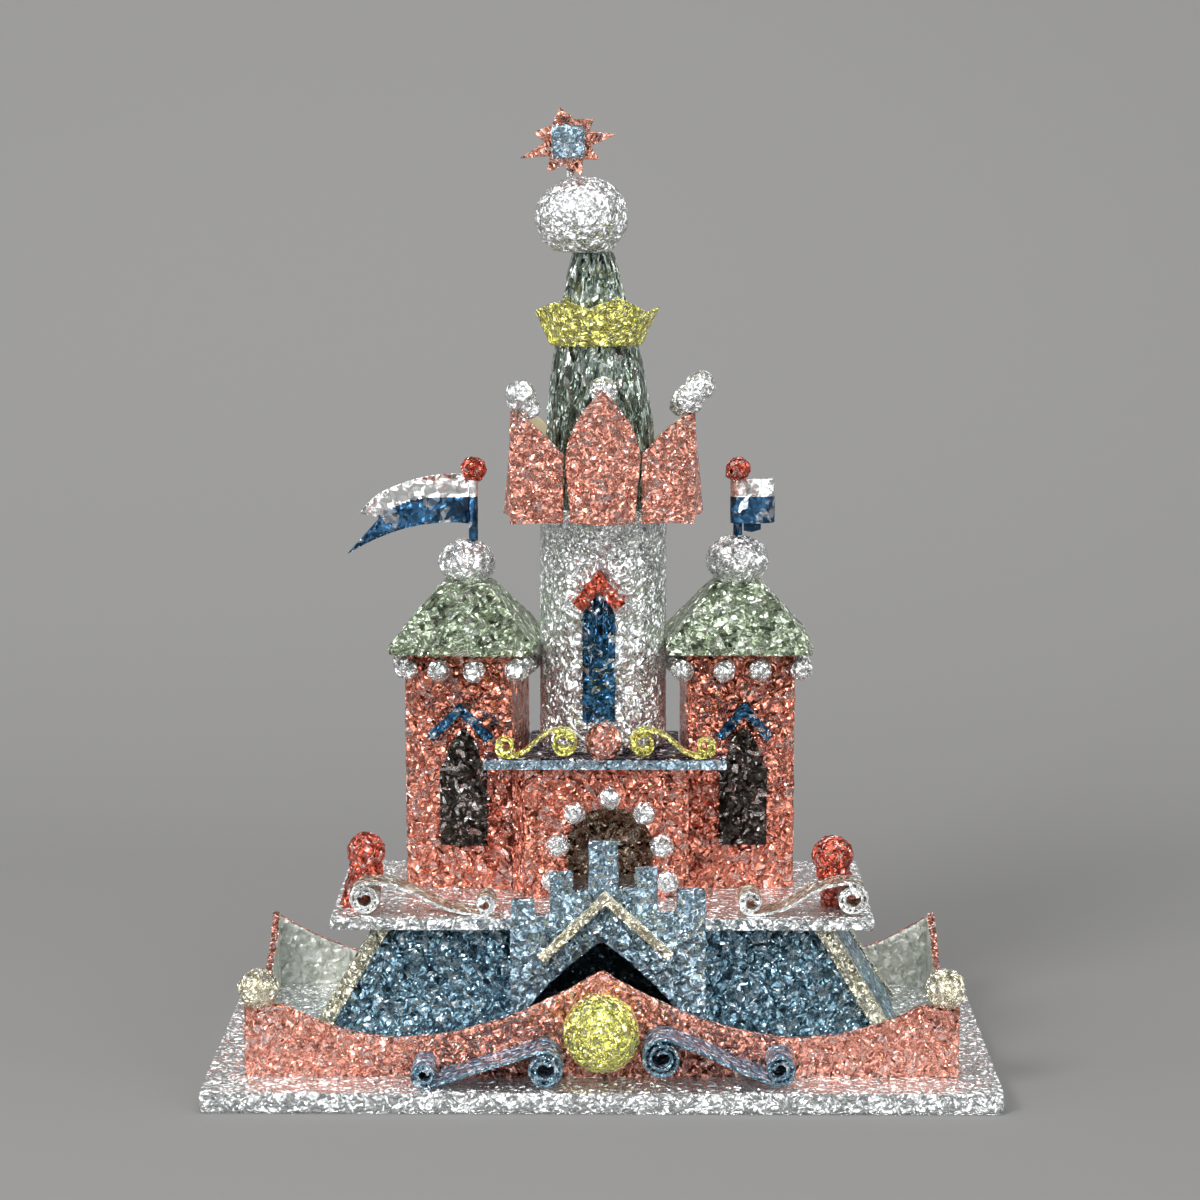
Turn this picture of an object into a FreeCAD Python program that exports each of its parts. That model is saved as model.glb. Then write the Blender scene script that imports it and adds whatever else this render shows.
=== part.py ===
import FreeCAD, Part
import math
import os

# A toy castle of folded card wrapped in coloured foil, with quilled strips and foil balls.
# +X is to the viewer's right, +Y goes back, +Z is up. Millimetres.
# The origin is the middle of the base board's underside.

V = FreeCAD.Vector

# Driving dimensions, by group. Every size that can be set by itself stands here once.
SIZES = {
    "base board": {
        "base_length": 200.0,
        "base_depth": 120.0,
        "base_thickness": 5.4,
        "base_corner": 1.5,
    },
    "enclosure walls": {
        "wall_card": 2.0,
        "wall_length": 180.0,
        "front_wall_inset": 14.4,
        "front_end_height": 18.4,
        "front_end_flat": 10.0,
        "front_low_height": 10.0,
        "front_low_at": 50.0,
        "front_peak_height": 27.4,
        "back_wall_length": 184.0,
        "back_wall_inset": 17.2,
        "back_end_height": 20.6,
        "back_low_height": 7.0,
        "back_low_at": 52.0,
        "back_peak_height": 21.0,
        "side_low_height": 9.6,
    },
    "foil balls on the front wall": {
        "corner_ball_radius": 5.0,
        "corner_ball_at": 86.4,
        "corner_ball_sink": 1.0,
        "boss_radius": 9.7,
        "boss_height": 12.7,
        "boss_depth": 14.4,
    },
    "quilled strips": {
        "strip_card": 0.8,
        "strip_width": 12.2,
        "terrace_strip_width": 8.6,
        "terrace_strip_back": 19.2,
        "gable_strip_width": 5.2,
        "gable_strip_inset": 0.6,
        "curl_core": 0.34,
        "front_big_turns": 2.2,
        "front_small_turns": 1.8,
        "gable_big_turns": 1.7,
        "gable_small_turns": 1.4,
    },
    "podium": {
        "podium_card": 2.0,
        "podium_height": 34.0,
        "podium_top_length": 116.0,
        "podium_batter": 21.0,
        "podium_askew": 4.3,
        "podium_top_front": 26.0,
        "podium_top_back": 28.0,
        "podium_front_batter": 11.0,
        "podium_back_batter": 8.0,
        "corner_strip_width": 3.9,
        "corner_strip_card": 0.8,
    },
    "gatehouse": {
        "gate_card": 2.4,
        "gate_inset": 20.0,
        "gate_arch_apex": 33.6,
        "gate_arch_half_width": 19.2,
        "gate_arch_spring": 15.4,
        "gate_strip_card": 2.5,
        "gate_strip_depth": 1.8,
        "gate_strip_apex_x": 0.9,
        "gate_strip_apex": 46.8,
        "gate_strip_left": 16.3,
        "gate_strip_left_foot": 30.0,
        "gate_strip_right": 18.3,
        "gate_strip_right_foot": 30.8,
        "fit_gap": 0.2,
    },
    "terrace": {
        "terrace_length": 139.0,
        "terrace_depth": 66.2,
        "terrace_front": 30.2,
        "terrace_card": 3.0,
    },
    "terrace posts": {
        "post_left_head_radius": 4.8,
        "post_right_head_radius": 5.1,
        "post_neck_radius": 4.1,
        "post_foot_radius": 5.0,
        "post_left_head_height": 13.9,
        "post_right_head_height": 13.0,
        "post_neck_height": 9.0,
        "post_left_at": 61.2,
        "post_right_at": 59.8,
        "post_front": 14.0,
        "post_foot_shift": 2.3,
    },
    "towers": {
        "tower_side": 28.5,
        "tower_height": 63.1,
        "tower_left_x": 36.1,
        "tower_left_y": 16.6,
        "tower_left_turn": 8.0,
        "tower_right_x": 35.6,
        "tower_right_y": 18.0,
        "tower_right_turn": 3.0,
        "tower_edge": 0.8,
    },
    "tower windows": {
        "window_foil": 0.6,
        "window_sill": 11.8,
        "window_half_width": 6.3,
        "window_shoulder": 35.4,
        "window_neck_half_width": 4.3,
        "window_apex": 43.2,
        "window_splay_height": 3.2,
        "window_shift_left": 1.4,
        "window_shift_right": 0.7,
    },
    "tower chevrons": {
        "chevron_card": 2.5,
        "chevron_depth": 1.8,
        "chevron_left_half_span": 9.0,
        "chevron_right_half_span": 7.7,
        "chevron_left_shift": 0.7,
        "chevron_right_shift": 0.9,
        "chevron_foot": 41.5,
        "chevron_apex": 50.5,
    },
    "eaves and roofs": {
        "bead_radius": 2.9,
        "bead_drop": 4.2,
        "bead_press": 0.8,
        "slipped_bead": 0.8,
        "eave_side": 38.4,
        "eave_under_side": 37.8,
        "roof_left_turn": 3.0,
        "roof_right_turn": 1.0,
        "eave_roll": 2.2,
        "roof_height": 17.2,
        "roof_neck_side": 12.8,
        "roof_ball_left_radius": 7.7,
        "roof_ball_left_half_height": 6.0,
        "roof_ball_right_radius": 8.4,
        "roof_ball_right_half_height": 6.6,
        "roof_ball_sink": 0.9,
    },
    "flags": {
        "pole_radius": 1.2,
        "pole_left_height": 16.3,
        "pole_right_height": 15.0,
        "pole_left_shift": 1.7,
        "pole_right_shift": 0.1,
        "pole_sink": 0.1,
        "pole_ball_radius": 3.4,
        "pole_ball_half_height": 3.2,
        "pole_ball_sink": 0.5,
        "flag_foil": 0.8,
        "flag_over_pole": 1.3,
        "flag_drop": 13.2,
        "flag_length": 33.4,
        "flag_droop": 20.9,
        "flag_wave": 1.4,
        "flag_turn": 184.0,
        "curled_flag_over_pole": 0.2,
        "curled_flag_drop": 11.8,
        "curled_flag_reach": 9.4,
        "curled_flag_depth": 7.6,
        "curled_flag_tail": 3.4,
        "curled_flag_tail_reach": 6.4,
    },
    "porch": {
        "porch_card": 1.6,
        "porch_height": 34.6,
        "porch_front": 6.7,
        "porch_front_left": 20.1,
        "porch_front_right": 22.4,
        "porch_splay_left": 24.0,
        "porch_splay_right": 22.6,
        "porch_shoulder": 0.4,
        "porch_back": 31.0,
        "porch_back_left": 19.4,
        "porch_back_right": 20.0,
        "door_centre": 1.9,
        "door_half_width": 11.3,
        "door_spring": 10.8,
        "door_apex": 24.0,
        "door_panel_set_back": 20.5,
        "door_panel_card": 1.2,
        "door_bead_radius": 2.9,
        "door_bead_press": 0.9,
        "door_bead_reach": 2.6,
        "door_bead_foot_spread": 1.16,
    },
    "porch roof": {
        "slab_card": 2.7,
        "slab_front": 9.8,
        "slab_left": 31.0,
        "slab_right": 32.2,
        "slab_edge": 0.2,
        "gable_ball_radius": 4.8,
        "gable_ball_front": 7.4,
        "gable_ball_shift": 0.25,
        "gable_ball_sink": 0.5,
    },
    "keep": {
        "keep_radius": 16.75,
        "keep_centre": 14.5,
        "keep_height": 61.9,
        "keep_window_half_width": 4.3,
        "keep_window_sill": 8.6,
        "keep_window_shoulder": 35.4,
        "keep_window_apex": 42.4,
        "keep_window_foil": 0.5,
        "keep_window_shift": 1.0,
        "keep_chevron_card": 3.4,
        "keep_chevron_depth": 2.2,
        "keep_chevron_foot": 40.0,
        "keep_chevron_apex": 48.8,
        "keep_chevron_half_span": 7.0,
    },
    "petal collar": {
        "petal_card": 1.2,
        "collar_side": 47.5,
        "collar_floor_card": 1.8,
        "corner_petal_wing": 13.6,
        "corner_petal_shoulder": 17.8,
        "corner_petal_tip": 29.0,
        "back_right_cut": 4.5,
        "back_left_cut": 1.8,
        "flank_petal_cut": 5.0,
        "side_petal_foot_half_width": 8.3,
        "side_petal_half_width": 9.6,
        "side_petal_shoulder": 15.6,
        "side_petal_tip": 34.1,
        "side_petal_ridge": 2.6,
        "petal_overhang": 0.2,
        "side_wad_radius": 3.6,
        "flank_wad_radius": 2.8,
        "side_wad_drop": 0.6,
    },
    "spire": {
        "spire_foot_radius": 14.9,
        "spire_height": 66.6,
        "spire_top_radius": 4.9,
        "spire_lean": 2.7,
        "crown_radius": 11.5,
        "crown_flare": 6.4,
        "crown_height": 14.0,
        "crown_point": 3.5,
        "crown_foil": 0.8,
        "crown_at": 42.6,
        "crown_lap_top": 9.6,
        "crown_lap_foot": 6.6,
        "crown_lap_depth": 4.0,
        "spire_sleeve": 0.4,
        "sleeve_foot": 57.3,
        "sleeve_slant_left": 1.2,
        "sleeve_slant_right": 4.6,
        "top_ball_radius": 12.3,
        "top_ball_half_height": 10.5,
        "top_ball_sink": 1.5,
        "top_ball_shift": 5.5,
    },
    "star": {
        "star_card": 1.2,
        "star_height": 9.0,
        "star_shift": 9.1,
        "star_valley_radius": 6.0,
        "cushion_side": 8.6,
        "cushion_depth": 3.0,
        "cushion_round": 1.2,
        "pin_width": 2.0,
        "pin_depth": 1.4,
        "pin_shift": 0.6,
        "pin_sink": 0.1,
    },
}

# Merlons of the gatehouse, left to right: left edge, right edge, top above the base board.
MERLONS = ((-23.0, -16.9, 44.4), (-13.1, -7.3, 51.3), (-3.3, 4.1, 59.3), (8.3, 14.1, 52.4),
           (18.9, 26.2, 47.0))
# The notches between them, from the same side: height of each notch floor.
NOTCHES = (40.2, 46.6, 47.2, 41.0)

# Curls of the quilled strips: x, height over what the strip stands on and radius of the big curl, then
# of the small one. The last number is the strip's slack: 0 runs taut between its curls, 1 sags.
CURLS = {
    "front_scroll_left": ((-14.2, 5.2, 4.7), (-44.2, 3.8, 3.2), 0.0),
    "front_scroll_right": ((15.2, 8.0, 5.0), (44.4, 5.4, 3.9), 0.25),
    "terrace_scroll_left": ((-60.6, 4.4, 4.0), (-30.0, 3.0, 2.6), 1.0),
    "terrace_scroll_right": ((64.0, 4.5, 4.1), (38.2, 3.5, 3.1), 1.0),
    "gable_scroll_left": ((-10.2, 3.9, 3.5), (-25.3, 3.0, 2.6), 1.0),
    "gable_scroll_right": ((10.6, 3.9, 3.5), (26.8, 3.0, 2.6), 1.0),
}

# The gateway's curve, from its spring to its apex: shares of its half width and of its rise.
ARCH_CURVE = ((1.0, 0.0), (0.72, 0.35), (0.5, 0.58), (0.24, 0.81), (0.0, 1.0))

# The star is cut by hand: direction of each point in degrees from +X, and its reach.
STAR_POINTS = ((9, 12.9), (41, 8.9), (104, 9.2), (165, 9.4), (199, 13.5), (236, 9.6),
               (292, 9.4), (330, 9.3))

# Foil wads on the corner petals, from the front right round the back to the front left. Each lobe is
# given by how far it lies past the corner, how far inside the collar's face, its height over the
# petal's tip, and its radius.
WADS = (
    ((1.3, 1.8, 6.4, 3.7), (-1.7, 1.6, 2.9, 3.9)),
    ((0.4, 1.8, 2.2, 2.6),),
    ((-0.4, 1.7, 1.6, 2.6),),
    ((-2.4, 1.6, 3.9, 3.9), (-4.9, 1.6, 0.4, 2.6)),
)

# Points of the crown: direction in degrees from the front, and how far the point stays below the top.
CROWN_TIPS = ((-60, 2.9), (-31, 0.9), (19, 0.0), (88, 3.7), (155, 3.5), (222, 2.8))

# Beads round the door, as directions from the door's centre, on an arch set outside its edge.
DOOR_BEAD_ANGLES = (-22.0, 12.0, 48.0, 90.0, 132.0, 168.0, 202.0)

doc = FreeCAD.newDocument("castle")
sheet = doc.addObject("Spreadsheet::Sheet", "Sizes")
row = 1
for group, values in SIZES.items():
    sheet.set(f"A{row}", group)
    row += 1
    for alias, value in values.items():
        sheet.set(f"A{row}", alias.replace("_", " "))
        sheet.set(f"B{row}", str(value))
        sheet.setAlias(f"B{row}", alias)
        row += 1
doc.recompute()


def size(alias):
    """The value of a named cell."""
    return float(sheet.get(alias))


def bind(thing, **expressions):
    """Ties properties of a feature to cells; a dot in a property's path is written as two underscores."""
    for path, expression in expressions.items():
        thing.setExpression(path.replace("__", "."), expression)


pieces = []


def keep_piece(thing, label):
    """Marks a finished sub-part, whose label names its file."""
    thing.Label = label
    pieces.append(thing)
    return thing


# Levels that pieces share, worked out from the sizes.
base_top = size("base_thickness")
terrace_under = base_top + size("podium_height")
terrace_top = terrace_under + size("terrace_card")
tower_top = terrace_top + size("tower_height")
roof_top = tower_top + size("roof_height")
slab_under = terrace_top + size("porch_height")
slab_top = slab_under + size("slab_card")
collar_under = slab_top + size("keep_height")
collar_top = collar_under + size("collar_floor_card")
spire_top = collar_top + size("spire_height")
front_wall_face = size("front_wall_inset") - size("base_depth") / 2
back_wall_face = size("base_depth") / 2 - size("back_wall_inset")

BASE_TOP = "Sizes.base_thickness"
TERRACE_UNDER = "(Sizes.base_thickness + Sizes.podium_height)"
TERRACE_TOP = "(Sizes.base_thickness + Sizes.podium_height + Sizes.terrace_card)"
TOWER_TOP = f"({TERRACE_TOP} + Sizes.tower_height)"
ROOF_TOP = f"({TOWER_TOP} + Sizes.roof_height)"
SLAB_UNDER = f"({TERRACE_TOP} + Sizes.porch_height)"
SLAB_TOP = f"({SLAB_UNDER} + Sizes.slab_card)"
COLLAR_UNDER = f"({SLAB_TOP} + Sizes.keep_height)"
COLLAR_TOP = f"({COLLAR_UNDER} + Sizes.collar_floor_card)"
SPIRE_TOP = f"({COLLAR_TOP} + Sizes.spire_height)"
FRONT_WALL_FACE = "(Sizes.front_wall_inset - Sizes.base_depth / 2)"


def line(start, end):
    return Part.LineSegment(V(start[0], start[1], 0), V(end[0], end[1], 0))


def closed(points):
    """Straight edges round a list of plane points."""
    return [line(a, b) for a, b in zip(points, points[1:] + points[:1])]


def smooth(points):
    """A smooth curve through plane points."""
    curve = Part.BSplineCurve()
    curve.interpolate([V(p[0], p[1], 0) for p in points])
    return curve


def sketch_on(body, role, edges, offset="0 mm"):
    """A sketch on one of the body's own planes, moved along the plane's normal."""
    sketch = body.newObject("Sketcher::SketchObject", body.Name + "_outline")
    plane = [part for part in body.Origin.OriginFeatures if part.Role == role][0]
    sketch.AttachmentSupport = [(plane, "")]
    sketch.MapMode = "FlatFace"
    sketch.setExpression("AttachmentOffset.Base.z", offset)
    sketch.addGeometry(edges, False)
    return sketch


def card(label, role, edges, thickness, offset="0 mm"):
    """A flat card cut to an outline. On XZ_Plane the outline faces the viewer and grows forwards."""
    body = doc.addObject("PartDesign::Body", label)
    sketch = sketch_on(body, role, edges, offset)
    pad = body.newObject("PartDesign::Pad", label + "_card")
    pad.Profile = sketch
    pad.setExpression("Length", thickness)
    sketch.Visibility = False
    return keep_piece(body, label)


def cut_card(body, role, edges, offset, depth, reverse=False):
    """Cuts an outline out of a card body."""
    sketch = sketch_on(body, role, edges, offset)
    pocket = body.newObject("PartDesign::Pocket", body.Name + "_cut")
    pocket.Profile = sketch
    pocket.Reversed = reverse
    pocket.setExpression("Length", depth)
    return pocket


def box(label, length, width, height, x, y, z):
    """A rectangular card; every argument is an expression on the sheet."""
    slab = doc.addObject("Part::Box", label)
    bind(slab, Length=length, Width=width, Height=height)
    bind(slab, Placement__Base__x=x, Placement__Base__y=y, Placement__Base__z=z)
    return slab


def feature(label, shape):
    """A piece whose shape is worked out from the sizes directly."""
    thing = doc.addObject("Part::Feature", label)
    thing.Shape = shape
    return keep_piece(thing, label)


def ball(label, radius, half_height, sink, x, y, z, facing_back=False):
    """A foil ball with a flat where it is glued. z is the height of the flat, or y when it faces back."""
    globe = doc.addObject("Part::Ellipsoid", label)
    centre_offset = f"({half_height} - ({sink}))"
    bind(globe, Radius1=half_height, Radius2=radius, Radius3=radius,
         Angle1=f"-asin({centre_offset} / {half_height})")
    if facing_back:
        globe.Placement.Rotation = FreeCAD.Rotation(V(1, 0, 0), 90)
        y = f"{y} - {centre_offset}"
    else:
        z = f"{z} + {centre_offset}"
    bind(globe, Placement__Base__x=x, Placement__Base__y=y, Placement__Base__z=z)
    return keep_piece(globe, label)


def scallop(half_length, flat, low_at, end, low, peak, foot):
    """Outline of a scalloped wall: raised ends, a dip each side and a point in the middle."""
    fall = [(low_at + (half_length - flat - low_at) * u, low + (end - low) * u ** 2)
            for u in (1.0, 0.75, 0.5, 0.25, 0.0)]
    rise = [(low_at * (1 - u), low + (peak - low) * u ** 1.8) for u in (0.2, 0.4, 0.6, 0.8, 1.0)]
    right = fall + rise
    left = [(-x, z) for x, z in reversed(right)]
    edges = [smooth(right), smooth(left)]
    if flat > 0:
        edges.append(line((-half_length + flat, end), (-half_length, end)))
        edges.append(line((half_length, end), (half_length - flat, end)))
    edges.append(line((-half_length, end), (-half_length, foot)))
    edges.append(line((-half_length, foot), (half_length, foot)))
    edges.append(line((half_length, foot), (half_length, end)))
    return edges


def ribbon(path, thickness):
    """Outline of a strip of even thickness that follows a list of plane points."""
    sides = ([], [])
    for i, (x, z) in enumerate(path):
        before = path[max(i - 1, 0)]
        after = path[min(i + 1, len(path) - 1)]
        dx, dz = after[0] - before[0], after[1] - before[1]
        length = math.hypot(dx, dz)
        nx, nz = -dz / length * thickness / 2, dx / length * thickness / 2
        sides[0].append((x + nx, z + nz))
        sides[1].append((x - nx, z - nz))
    return [smooth(sides[0]), line(sides[0][-1], sides[1][-1]), smooth(sides[1]),
            line(sides[1][0], sides[0][0])]


def curl(middle, radius, hand, turns, first, inwards):
    """Points of a flat spiral, from its core out to an angle, or inwards from that angle."""
    steps = int(turns * 10)
    core = size("curl_core")
    points = []
    for i in range(steps + 1):
        share = i / steps
        angle = first + 2 * math.pi * turns * (1 - share)
        reach = radius * (core + (1 - core) * share)
        if inwards:
            angle = first + 2 * math.pi * turns * share
            reach = radius * (1 - (1 - core) * share)
        points.append((middle[0] + hand * reach * math.cos(angle), middle[1] + reach * math.sin(angle)))
    return points


def quill(label, rest, big_turns, small_turns):
    """Midline of a quilled strip: out of the big curl over its top, down under the small curl."""
    (big_x, big_z, big_radius), (small_x, small_z, small_radius), slack = CURLS[label]
    big, small = (big_x, rest + big_z), (small_x, rest + small_z)
    hand = 1 if small_x > big_x else -1
    span = math.hypot(small_x - big_x, small[1] - big[1])
    fall = math.atan2(small[1] - big[1], abs(small_x - big_x)) - math.asin((big_radius + small_radius) / span)
    slope = fall * (1 - slack)
    path = curl(big, big_radius, hand, big_turns, math.radians(90) + slope, False)
    tail = curl(small, small_radius, hand, small_turns, math.radians(-90) + slope, True)
    start, end = path[-1], tail[0]
    reach = math.hypot(end[0] - start[0], end[1] - start[1]) * (0.33 + 0.17 * slack)
    handle = (hand * reach * math.cos(slope), reach * math.sin(slope))
    strip = Part.BezierCurve()
    strip.setPoles([V(start[0], start[1], 0), V(start[0] + handle[0], start[1] + handle[1], 0),
                    V(end[0] - handle[0], end[1] - handle[1], 0), V(end[0], end[1], 0)])
    run = [strip.value(i / 8) for i in range(1, 8)]
    return path + [(point.x, point.y) for point in run] + tail


def chevron_outline(left, apex, right, thickness):
    """Outline of a bent strip; the points are the feet and the apex of its outer edge."""
    def inward(a, b):
        length = math.hypot(b[0] - a[0], b[1] - a[1])
        return ((b[1] - a[1]) / length * thickness, -(b[0] - a[0]) / length * thickness)
    rise = inward(left, apex)
    fall = inward(apex, right)
    slope = math.atan2(apex[1] - left[1], apex[0] - left[0])
    inner_apex = (apex[0], apex[1] - thickness / math.cos(slope))
    return closed([left, apex, right, (right[0] + fall[0], right[1] + fall[1]), inner_apex,
                   (left[0] + rise[0], left[1] + rise[1])])


def lancet_outline(centre, sill, half_width, shoulder, neck, apex):
    """A pointed window; it narrows to its neck at the shoulder."""
    side = [(centre + neck, shoulder), (centre + 0.72 * neck, 0.43 * shoulder + 0.57 * apex), (centre, apex)]
    other = [(2 * centre - x, z) for x, z in reversed(side)]
    edges = [line((centre - half_width, sill), (centre + half_width, sill)), smooth(side), smooth(other)]
    step = shoulder - size("window_splay_height") if half_width > neck else shoulder
    edges.append(line((centre + half_width, sill), (centre + half_width, step)))
    edges.append(line((centre - half_width, step), (centre - half_width, sill)))
    if half_width > neck:
        edges.append(line((centre + half_width, step), (centre + neck, shoulder)))
        edges.append(line((centre - neck, shoulder), (centre - half_width, step)))
    return edges


def prism(edges, y_front, y_back):
    """The solid that an outline in the XZ plane sweeps from one depth to another."""
    shapes = [edge.toShape() for edge in edges]
    wire = Part.Wire(Part.__sortEdges__(shapes))
    wire.rotate(V(0, 0, 0), V(1, 0, 0), 90)
    wire.translate(V(0, y_front, 0))
    return Part.Face(wire).extrude(V(0, y_back - y_front, 0))


# Base board: corrugated board with foil-softened corners.
base_block = box("base_block", "Sizes.base_length", "Sizes.base_depth", "Sizes.base_thickness",
                 "-Sizes.base_length / 2", "-Sizes.base_depth / 2", "0 mm")
doc.recompute()
base_board = doc.addObject("Part::Fillet", "base_board")
base_board.Base = base_block
upright = [i + 1 for i, edge in enumerate(base_block.Shape.Edges)
           if abs(edge.BoundBox.ZLength - base_top) < 1e-6]
base_board.Edges = [(i, size("base_corner"), size("base_corner")) for i in upright]
keep_piece(base_board, "base_board")

# Front and back walls stand on the base; the back wall is a little longer.
card("front_wall", "XZ_Plane",
     scallop(size("wall_length") / 2, size("front_end_flat"), size("front_low_at"),
             base_top + size("front_end_height"), base_top + size("front_low_height"),
             base_top + size("front_peak_height"), base_top),
     "Sizes.wall_card", "Sizes.base_depth / 2 - Sizes.front_wall_inset - Sizes.wall_card")
card("back_wall", "XZ_Plane",
     scallop(size("back_wall_length") / 2, 0, size("back_low_at"),
             base_top + size("back_end_height"), base_top + size("back_low_height"),
             base_top + size("back_peak_height"), base_top),
     "Sizes.wall_card", "Sizes.back_wall_inset - Sizes.base_depth / 2 - Sizes.wall_card")

# Side walls run between them, splayed to meet the longer back wall, low in the middle.
side_run = back_wall_face - front_wall_face - size("wall_card")
side_splay = (size("back_wall_length") - size("wall_length")) / 2
side_turn = math.degrees(math.atan2(side_splay, side_run))


def side_profile():
    """Outline of a side wall, from its front end at zero to its back end."""
    front = base_top + size("front_end_height")
    back = base_top + size("back_end_height")
    low = base_top + size("side_low_height")
    half = side_run / 2
    points = []
    for i in range(9):
        u = i / 4 - 1
        end = front if u < 0 else back
        points.append((half + half * u, low + (end - low) * abs(u) ** 2.4))
    return [smooth(points), line((side_run, back), (side_run, base_top)),
            line((side_run, base_top), (0, base_top)), line((0, base_top), (0, front))]


for label, hand in (("side_wall_left", -1), ("side_wall_right", 1)):
    wall = card(label, "YZ_Plane", side_profile(), "Sizes.wall_card",
                "-Sizes.wall_card" if hand > 0 else "0 mm")
    wall.Placement = FreeCAD.Placement(V(hand * size("wall_length") / 2,
                                         front_wall_face + size("wall_card"), 0),
                                       FreeCAD.Rotation(V(0, 0, 1), -hand * side_turn))

# Foil balls on the wall's ends and the big boss in front of its middle.
for label, hand in (("corner_ball_left", "-"), ("corner_ball_right", "")):
    ball(label, "Sizes.corner_ball_radius", "Sizes.corner_ball_radius", "Sizes.corner_ball_sink",
         f"{hand}Sizes.corner_ball_at", f"{FRONT_WALL_FACE} + Sizes.wall_card / 2",
         "Sizes.base_thickness + Sizes.front_end_height")
ball("gate_boss", "Sizes.boss_radius", "Sizes.boss_radius", "2 * Sizes.boss_radius - Sizes.boss_depth",
     "0 mm", FRONT_WALL_FACE, "Sizes.base_thickness + Sizes.boss_height", facing_back=True)

def scroll(label, rest, turns, width, offset):
    """A quilled strip that stands on edge, facing the viewer."""
    return card(label, "XZ_Plane", ribbon(quill(label, rest, *turns), size("strip_card")), width, offset)


def seat(strip, rest, width, offset):
    """Presses the foot of a strip flat on what it stands on."""
    far = size("base_length")
    under = closed([(-far, rest - size("strip_card")), (far, rest - size("strip_card")), (far, rest),
                    (-far, rest)])
    cut_card(strip, "XZ_Plane", under, f"{offset} + {width}", width)


# Quilled strips glued by their back edge to the front wall.
FRONT_TURNS = (size("front_big_turns"), size("front_small_turns"))
GABLE_TURNS = (size("gable_big_turns"), size("gable_small_turns"))
GABLE_BACK = "(Sizes.slab_front - Sizes.gable_strip_width - Sizes.gable_strip_inset)"
for side in ("left", "right"):
    scroll(f"front_scroll_{side}", base_top, FRONT_TURNS, "Sizes.strip_width",
           "Sizes.base_depth / 2 - Sizes.front_wall_inset")


# The podium is a hollow battered block of four mitred cards.
def podium_corners(grow, z):
    """Corner points of the podium's outer faces at a height, grown outwards by a distance.

    Its left side tucks in towards the back.
    """
    share = (terrace_under - z) / size("podium_height")
    half = size("podium_top_length") / 2 + size("podium_batter") * share + grow
    front = -(size("podium_top_front") + size("podium_front_batter") * share + grow)
    back = size("podium_top_back") + size("podium_back_batter") * share + grow
    tucked = half - math.tan(math.radians(size("podium_askew"))) * (back - front)
    return [V(-half, front, z), V(half, front, z), V(half, back, z), V(-tucked, back, z)]


def podium_block(grow):
    """The battered block inside the podium's corner points."""
    low = Part.makePolygon(podium_corners(grow, base_top) + podium_corners(grow, base_top)[:1])
    top = Part.makePolygon(podium_corners(grow, terrace_under) + podium_corners(grow, terrace_under)[:1])
    return Part.makeLoft([low, top], True, True)


def podium_panel(first, second):
    """One side of the podium, mitred at both ends."""
    def quad(grow):
        low = podium_corners(grow, base_top)
        top = podium_corners(grow, terrace_under)
        return Part.makePolygon([low[first], low[second], top[second], top[first], low[first]])
    return Part.makeLoft([quad(0), quad(-size("podium_card"))], True, True)


def gate_arch():
    """Outline of the gateway: a pointed arch that spreads to its feet."""
    half = size("gate_arch_half_width")
    spring = base_top + size("gate_arch_spring")
    rise = size("gate_arch_apex") - size("gate_arch_spring")
    side = [(half * across, spring + rise * up) for across, up in ARCH_CURVE]
    other = [(-x, z) for x, z in reversed(side)]
    return [smooth(side), smooth(other), line((-half, spring), (-half, base_top)),
            line((-half, base_top), (half, base_top)), line((half, base_top), (half, spring))]


gate_back = -(size("base_depth") / 2 - size("gate_inset")) + size("gate_card")
gateway = prism(gate_arch(), gate_back - size("gate_card") - 1, 0)
feature("podium_front", podium_panel(0, 1).cut(gateway))
feature("podium_right", podium_panel(1, 2))
feature("podium_back", podium_panel(2, 3))
feature("podium_left", podium_panel(3, 0))


def corner_strips():
    """Strips folded over the podium's four corners."""
    skin = podium_block(size("corner_strip_card")).cut(podium_block(0))
    low = podium_corners(0, base_top)
    top = podium_corners(0, terrace_under)
    width = V(size("corner_strip_width"), 0, 0)
    along = V(0, size("corner_strip_width"), 0)
    deep = size("base_depth")
    wide = size("base_length")

    def field(points, flat, sweep):
        """What lies between two strips on one side, swept across from the block's middle."""
        ends = [V(p.x, 0, p.z) if flat == "y" else V(0, p.y, p.z) for p in points]
        return Part.Face(Part.makePolygon(ends + ends[:1])).extrude(sweep)
    front = field([low[0] + width, low[1] - width, top[1] - width, top[0] + width], "y", V(0, -deep, 0))
    back = field([low[3] + width, low[2] - width, top[2] - width, top[3] + width], "y", V(0, deep, 0))
    left = field([low[0] + along, low[3] - along, top[3] - along, top[0] + along], "x", V(-wide, 0, 0))
    right = field([low[1] + along, low[2] - along, top[2] - along, top[1] + along], "x", V(wide, 0, 0))
    return skin.cut(front).cut(back).cut(left).cut(right)


feature("corner_strips", corner_strips())


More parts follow.
